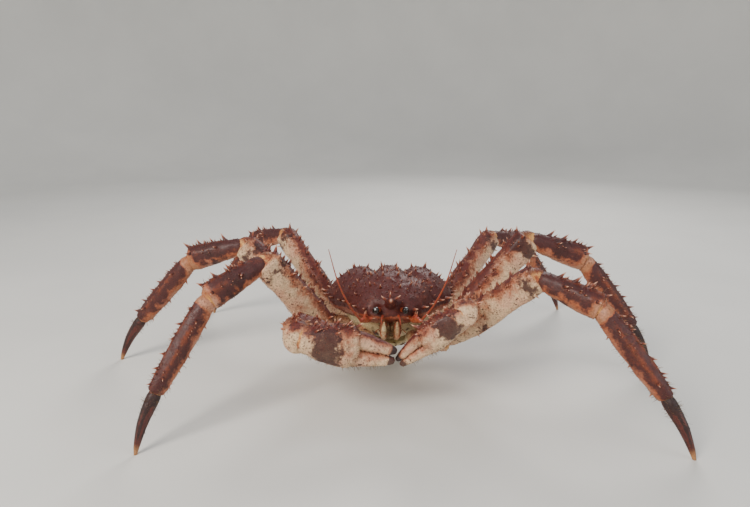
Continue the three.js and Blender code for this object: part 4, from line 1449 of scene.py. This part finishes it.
def make_feelers(word, side):
    matrix = head_frame("feeler", side)
    end = matrix @ Vector((FEELER_STEM["reach"], 0, 0))
    stem = placed(limb_shape(FEELER_STEM, 60, 24, lumps=0.3), matrix)
    whip = ringed(limb_shape(FEELER_WHIP, 220, 10, lumps=0), FEELER_WHIP, *WHIP_RINGS)
    whip["upper"] = np.where(np.sin(whip["share"] * 70) > 0, 1.0, -0.2)
    shape = joined([stem, placed(whip, aim(end, side, *WHIP_WAY))])
    places = places_in(thorn_places(FEELER_STEM, side, 2), matrix)
    dressed(f"{word}_feeler", "feeler skin", shape, places, grains=0.0)

    shape = limb_shape(SMALL_FEELER, 70, 14, lumps=0)
    shape = ringed(shape, SMALL_FEELER, *SMALL_FEELER_RINGS)
    shape["hairy"] = smoothstep(shape["share"], 0.72, 0.8)
    shape = placed(shape, head_frame("small_feeler", side))
    dressed(f"{word}_small_feeler", "feeler skin", shape, grains=0.0, hairs=900000)


def make_mouth(word, side):
    """The large jaw limb with its fine spines, and the palps and lash beside it."""
    matrix = head_frame("jaw_limb", side)
    lower = limb_shape(JAW_LOWER, 36, 24, side, seams=(0.3, 0.62), lumps=0.3)
    upper = limb_shape(JAW_UPPER, 36, 24, side, seams=(0.34, 0.7), lumps=0.3)
    for part in (lower, upper):
        part["hairy"] = smoothstep(-side * np.sin(part["turn"]), 0.3, 0.8)
    raised = aim(matrix @ Vector((JAW_LOWER["reach"], 0, 0)), side, *JAW_UPPER_WAY)
    places = places_in(thorn_places(JAW_LOWER, side, 6), matrix)
    places += places_in(thorn_places(JAW_UPPER, side, 7), raised)
    dressed(
        f"{word}_jaw_limb", "mouth shell",
        joined([placed(lower, matrix), placed(upper, raised)]), places,
        grain_size=0.5, hairs=300000,
    )
    inner = []
    for across, forward, level, slope, size in MOUTH_PALPS:
        palp = limb_shape(scaled(JAW_UPPER, size), 24, 16, side, seams=(0.4, 0.7), lumps=0.2)
        palp["hairy"] = smoothstep(palp["share"], 0.3, 0.9)
        root = in_body(side, across, forward, level)
        inner.append(placed(palp, aim(root, side, PALP_AZIMUTH, slope)))
    lash = limb_shape(MOUTH_LASH, 60, 8, side, lumps=0)
    inner.append(placed(lash, head_frame("lash", side)))
    dressed(
        f"{word}_mouth_palps", "mouth shell", joined(inner),
        grains=0.6, grain_size=0.4, hairs=400000, extra=True,
    )


def make_head():
    for word, side in (("right", -1), ("left", 1)):
        make_eye(word, side)
        make_feelers(word, side)
        make_mouth(word, side)


# Stage


# A round floor that bends up into a low wall, in metres
FLOOR_FLAT = 2.4
FLOOR_BEND = 0.9
FLOOR_WALL = 1.9
FLOOR_SIDES = 96
FLOOR_RINGS = [0.8, 1.6]  # on the flat part

# Lamps: name, place, size, watts and colour. All aim at the crab's middle.
LAMPS = [
    ("key", (-1.2, -1.5, 1.5), 0.9, 58, (1.0, 0.94, 0.86)),
    ("fill", (1.7, -1.2, 0.9), 1.4, 16, (0.92, 0.96, 1.0)),
    ("rim", (0.5, 1.5, 1.5), 0.9, 26, (1.0, 0.98, 0.95)),
]
LAMP_TARGET = Vector((0, 0, 0.1))
SKY_COLOUR = (0.86, 0.92, 1.0, 1)
SKY_STRENGTH = 0.5

# The camera, and where the crab's middle falls in a picture of 750 x 507 pixels
LENS = 26.7
SENSOR = 36.0
CAMERA_MIDDLE = Vector((0, 0, 0.105))
CAMERA_DISTANCE = 0.84
CAMERA_ELEVATION = math.radians(20)
PICTURE = (750, 507)
MIDDLE_PIXEL = (380, 300)


def area_light(name, place, size, energy, tint):
    data = bpy.data.lights.new(name, "AREA")
    data.shape, data.size, data.energy, data.color = "SQUARE", size, energy, tint
    lamp = bpy.data.objects.new(name, data)
    lamp.location = place
    lamp.rotation_mode = "QUATERNION"
    lamp.rotation_quaternion = (LAMP_TARGET - Vector(place)).to_track_quat("-Z", "Y")
    bpy.context.collection.objects.link(lamp)


def floor_mesh():
    """Rings of points round a middle point."""
    sides, turns = FLOOR_SIDES, around(FLOOR_SIDES)
    bend = np.linspace(0, np.pi / 2, 16)
    reach = np.concatenate([FLOOR_RINGS, FLOOR_FLAT + FLOOR_BEND * np.sin(bend)])
    rise = np.concatenate([[0, 0], FLOOR_BEND * (1 - np.cos(bend))])
    reach, rise = np.append(reach, reach[-1]), np.append(rise, FLOOR_WALL)
    rings = np.stack([np.outer(reach, np.cos(turns)), np.outer(reach, np.sin(turns))], -1)
    rings = np.concatenate([rings, np.repeat(rise, sides).reshape(-1, sides, 1)], -1)
    points = [[0, 0, 0], *rings.reshape(-1, 3).tolist()]
    faces = [(0, 1 + j, 1 + (j + 1) % sides) for j in range(sides)]
    for i, j in itertools.product(range(len(reach) - 1), range(sides)):
        a, b = 1 + i * sides + j, 1 + i * sides + (j + 1) % sides
        faces.append((a, a + sides, b + sides, b))
    mesh = bpy.data.meshes.new("floor")
    mesh.from_pydata(points, [], faces)
    mesh.polygons.foreach_set("use_smooth", [True] * len(mesh.polygons))
    return mesh


def floor_material():
    material, t, shader = new_material("studio floor")
    place = t.add("ShaderNodeTexCoord")["Object"]
    base = colours().floor
    soft = t.between(t.noise(place, 3.0), 0.3, 0.7)
    shade = t.mix(soft, rgba(base), rgba([v * 0.95 for v in base]))
    material.node_tree.links.new(shade, shader.inputs["Base Color"])
    shader.inputs["Roughness"].default_value = 0.75
    return material


def set_camera():
    data = bpy.data.cameras.new("camera")
    data.sensor_width, data.lens = SENSOR, LENS
    data.clip_start, data.clip_end = 0.01, 50
    camera = bpy.data.objects.new("camera", data)
    back = Vector((0, -math.cos(CAMERA_ELEVATION), math.sin(CAMERA_ELEVATION)))
    camera.location = CAMERA_MIDDLE + back * CAMERA_DISTANCE
    focal = LENS / SENSOR * PICTURE[0]
    turn = math.atan((MIDDLE_PIXEL[0] - PICTURE[0] / 2) / focal)
    pitch = CAMERA_ELEVATION - math.atan((MIDDLE_PIXEL[1] - PICTURE[1] / 2) / focal)
    camera.rotation_euler = (math.pi / 2 - pitch, 0, turn)
    bpy.context.collection.objects.link(camera)
    bpy.context.scene.camera = camera


def make_stage():
    mesh = floor_mesh()
    mesh.materials.append(floor_material())
    floor = bpy.data.objects.new("floor", mesh)
    bpy.context.collection.objects.link(floor)
    world = bpy.data.worlds.new("studio")
    world.use_nodes = True
    sky = world.node_tree.nodes["Background"]
    sky.inputs["Color"].default_value = SKY_COLOUR
    sky.inputs["Strength"].default_value = SKY_STRENGTH
    bpy.context.scene.world = world
    for lamp in LAMPS:
        area_light(*lamp)
    set_camera()


# Operators, one for each group of like pieces


class CRAB_OT_back_shell(bpy.types.Operator):
    """Builds the heart-shaped back shell with its spines and beak"""

    bl_idname = "crab.back_shell"
    bl_label = "Back shell"

    def execute(self, context):
        make_back_shell()
        return {"FINISHED"}


class CRAB_OT_breast(bpy.types.Operator):
    """Builds the pale breast between the legs"""

    bl_idname = "crab.breast"
    bl_label = "Breast"

    def execute(self, context):
        make_breast()
        return {"FINISHED"}


class CRAB_OT_tail_flap(bpy.types.Operator):
    """Builds the tucked tail flap with its plates"""

    bl_idname = "crab.tail_flap"
    bl_label = "Tail flap"

    def execute(self, context):
        make_tail_flap()
        return {"FINISHED"}


class CRAB_OT_walking_legs(bpy.types.Operator):
    """Builds the six walking legs and their claws"""

    bl_idname = "crab.walking_legs"
    bl_label = "Walking legs"

    def execute(self, context):
        make_walking_legs()
        return {"FINISHED"}


class CRAB_OT_arms(bpy.types.Operator):
    """Builds both arms with their pincers"""

    bl_idname = "crab.arms"
    bl_label = "Arms and pincers"

    def execute(self, context):
        for arm in ARMS:
            make_arm(**arm)
        return {"FINISHED"}


class CRAB_OT_head(bpy.types.Operator):
    """Builds the eyes, feelers and mouth limbs"""

    bl_idname = "crab.head"
    bl_label = "Head"

    def execute(self, context):
        make_head()
        return {"FINISHED"}


class CRAB_OT_stage(bpy.types.Operator):
    """Sets the floor, the soft lights and the camera"""

    bl_idname = "crab.stage"
    bl_label = "Stage"

    def execute(self, context):
        make_stage()
        return {"FINISHED"}


OPERATORS = (
    CRAB_OT_stage,
    CRAB_OT_back_shell,
    CRAB_OT_breast,
    CRAB_OT_tail_flap,
    CRAB_OT_walking_legs,
    CRAB_OT_arms,
    CRAB_OT_head,
)


class CRAB_PT_panel(bpy.types.Panel):
    """Lists the crab's pieces with their sizes and colours"""

    bl_idname = "CRAB_PT_panel"
    bl_label = "King Crab"
    bl_space_type = "VIEW_3D"
    bl_region_type = "UI"
    bl_category = "King Crab"

    def draw(self, context):
        layout = self.layout
        for group in (context.scene.crab_sizes, context.scene.crab_colours):
            for name in group.__annotations__:
                layout.prop(group, name)
        for operator in OPERATORS:
            layout.operator(operator.bl_idname)


CLASSES = (CrabSizes, CrabColours, *OPERATORS, CRAB_PT_panel)


def register():
    for item in CLASSES:
        bpy.utils.register_class(item)
    bpy.types.Scene.crab_sizes = PointerProperty(type=CrabSizes)
    bpy.types.Scene.crab_colours = PointerProperty(type=CrabColours)


def unregister():
    del bpy.types.Scene.crab_sizes
    del bpy.types.Scene.crab_colours
    for item in reversed(CLASSES):
        bpy.utils.unregister_class(item)


def main():
    register()
    for operator in OPERATORS:
        group, name = operator.bl_idname.split(".")
        getattr(getattr(bpy.ops, group), name)()
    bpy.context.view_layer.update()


if __name__ == "__main__":
    main()
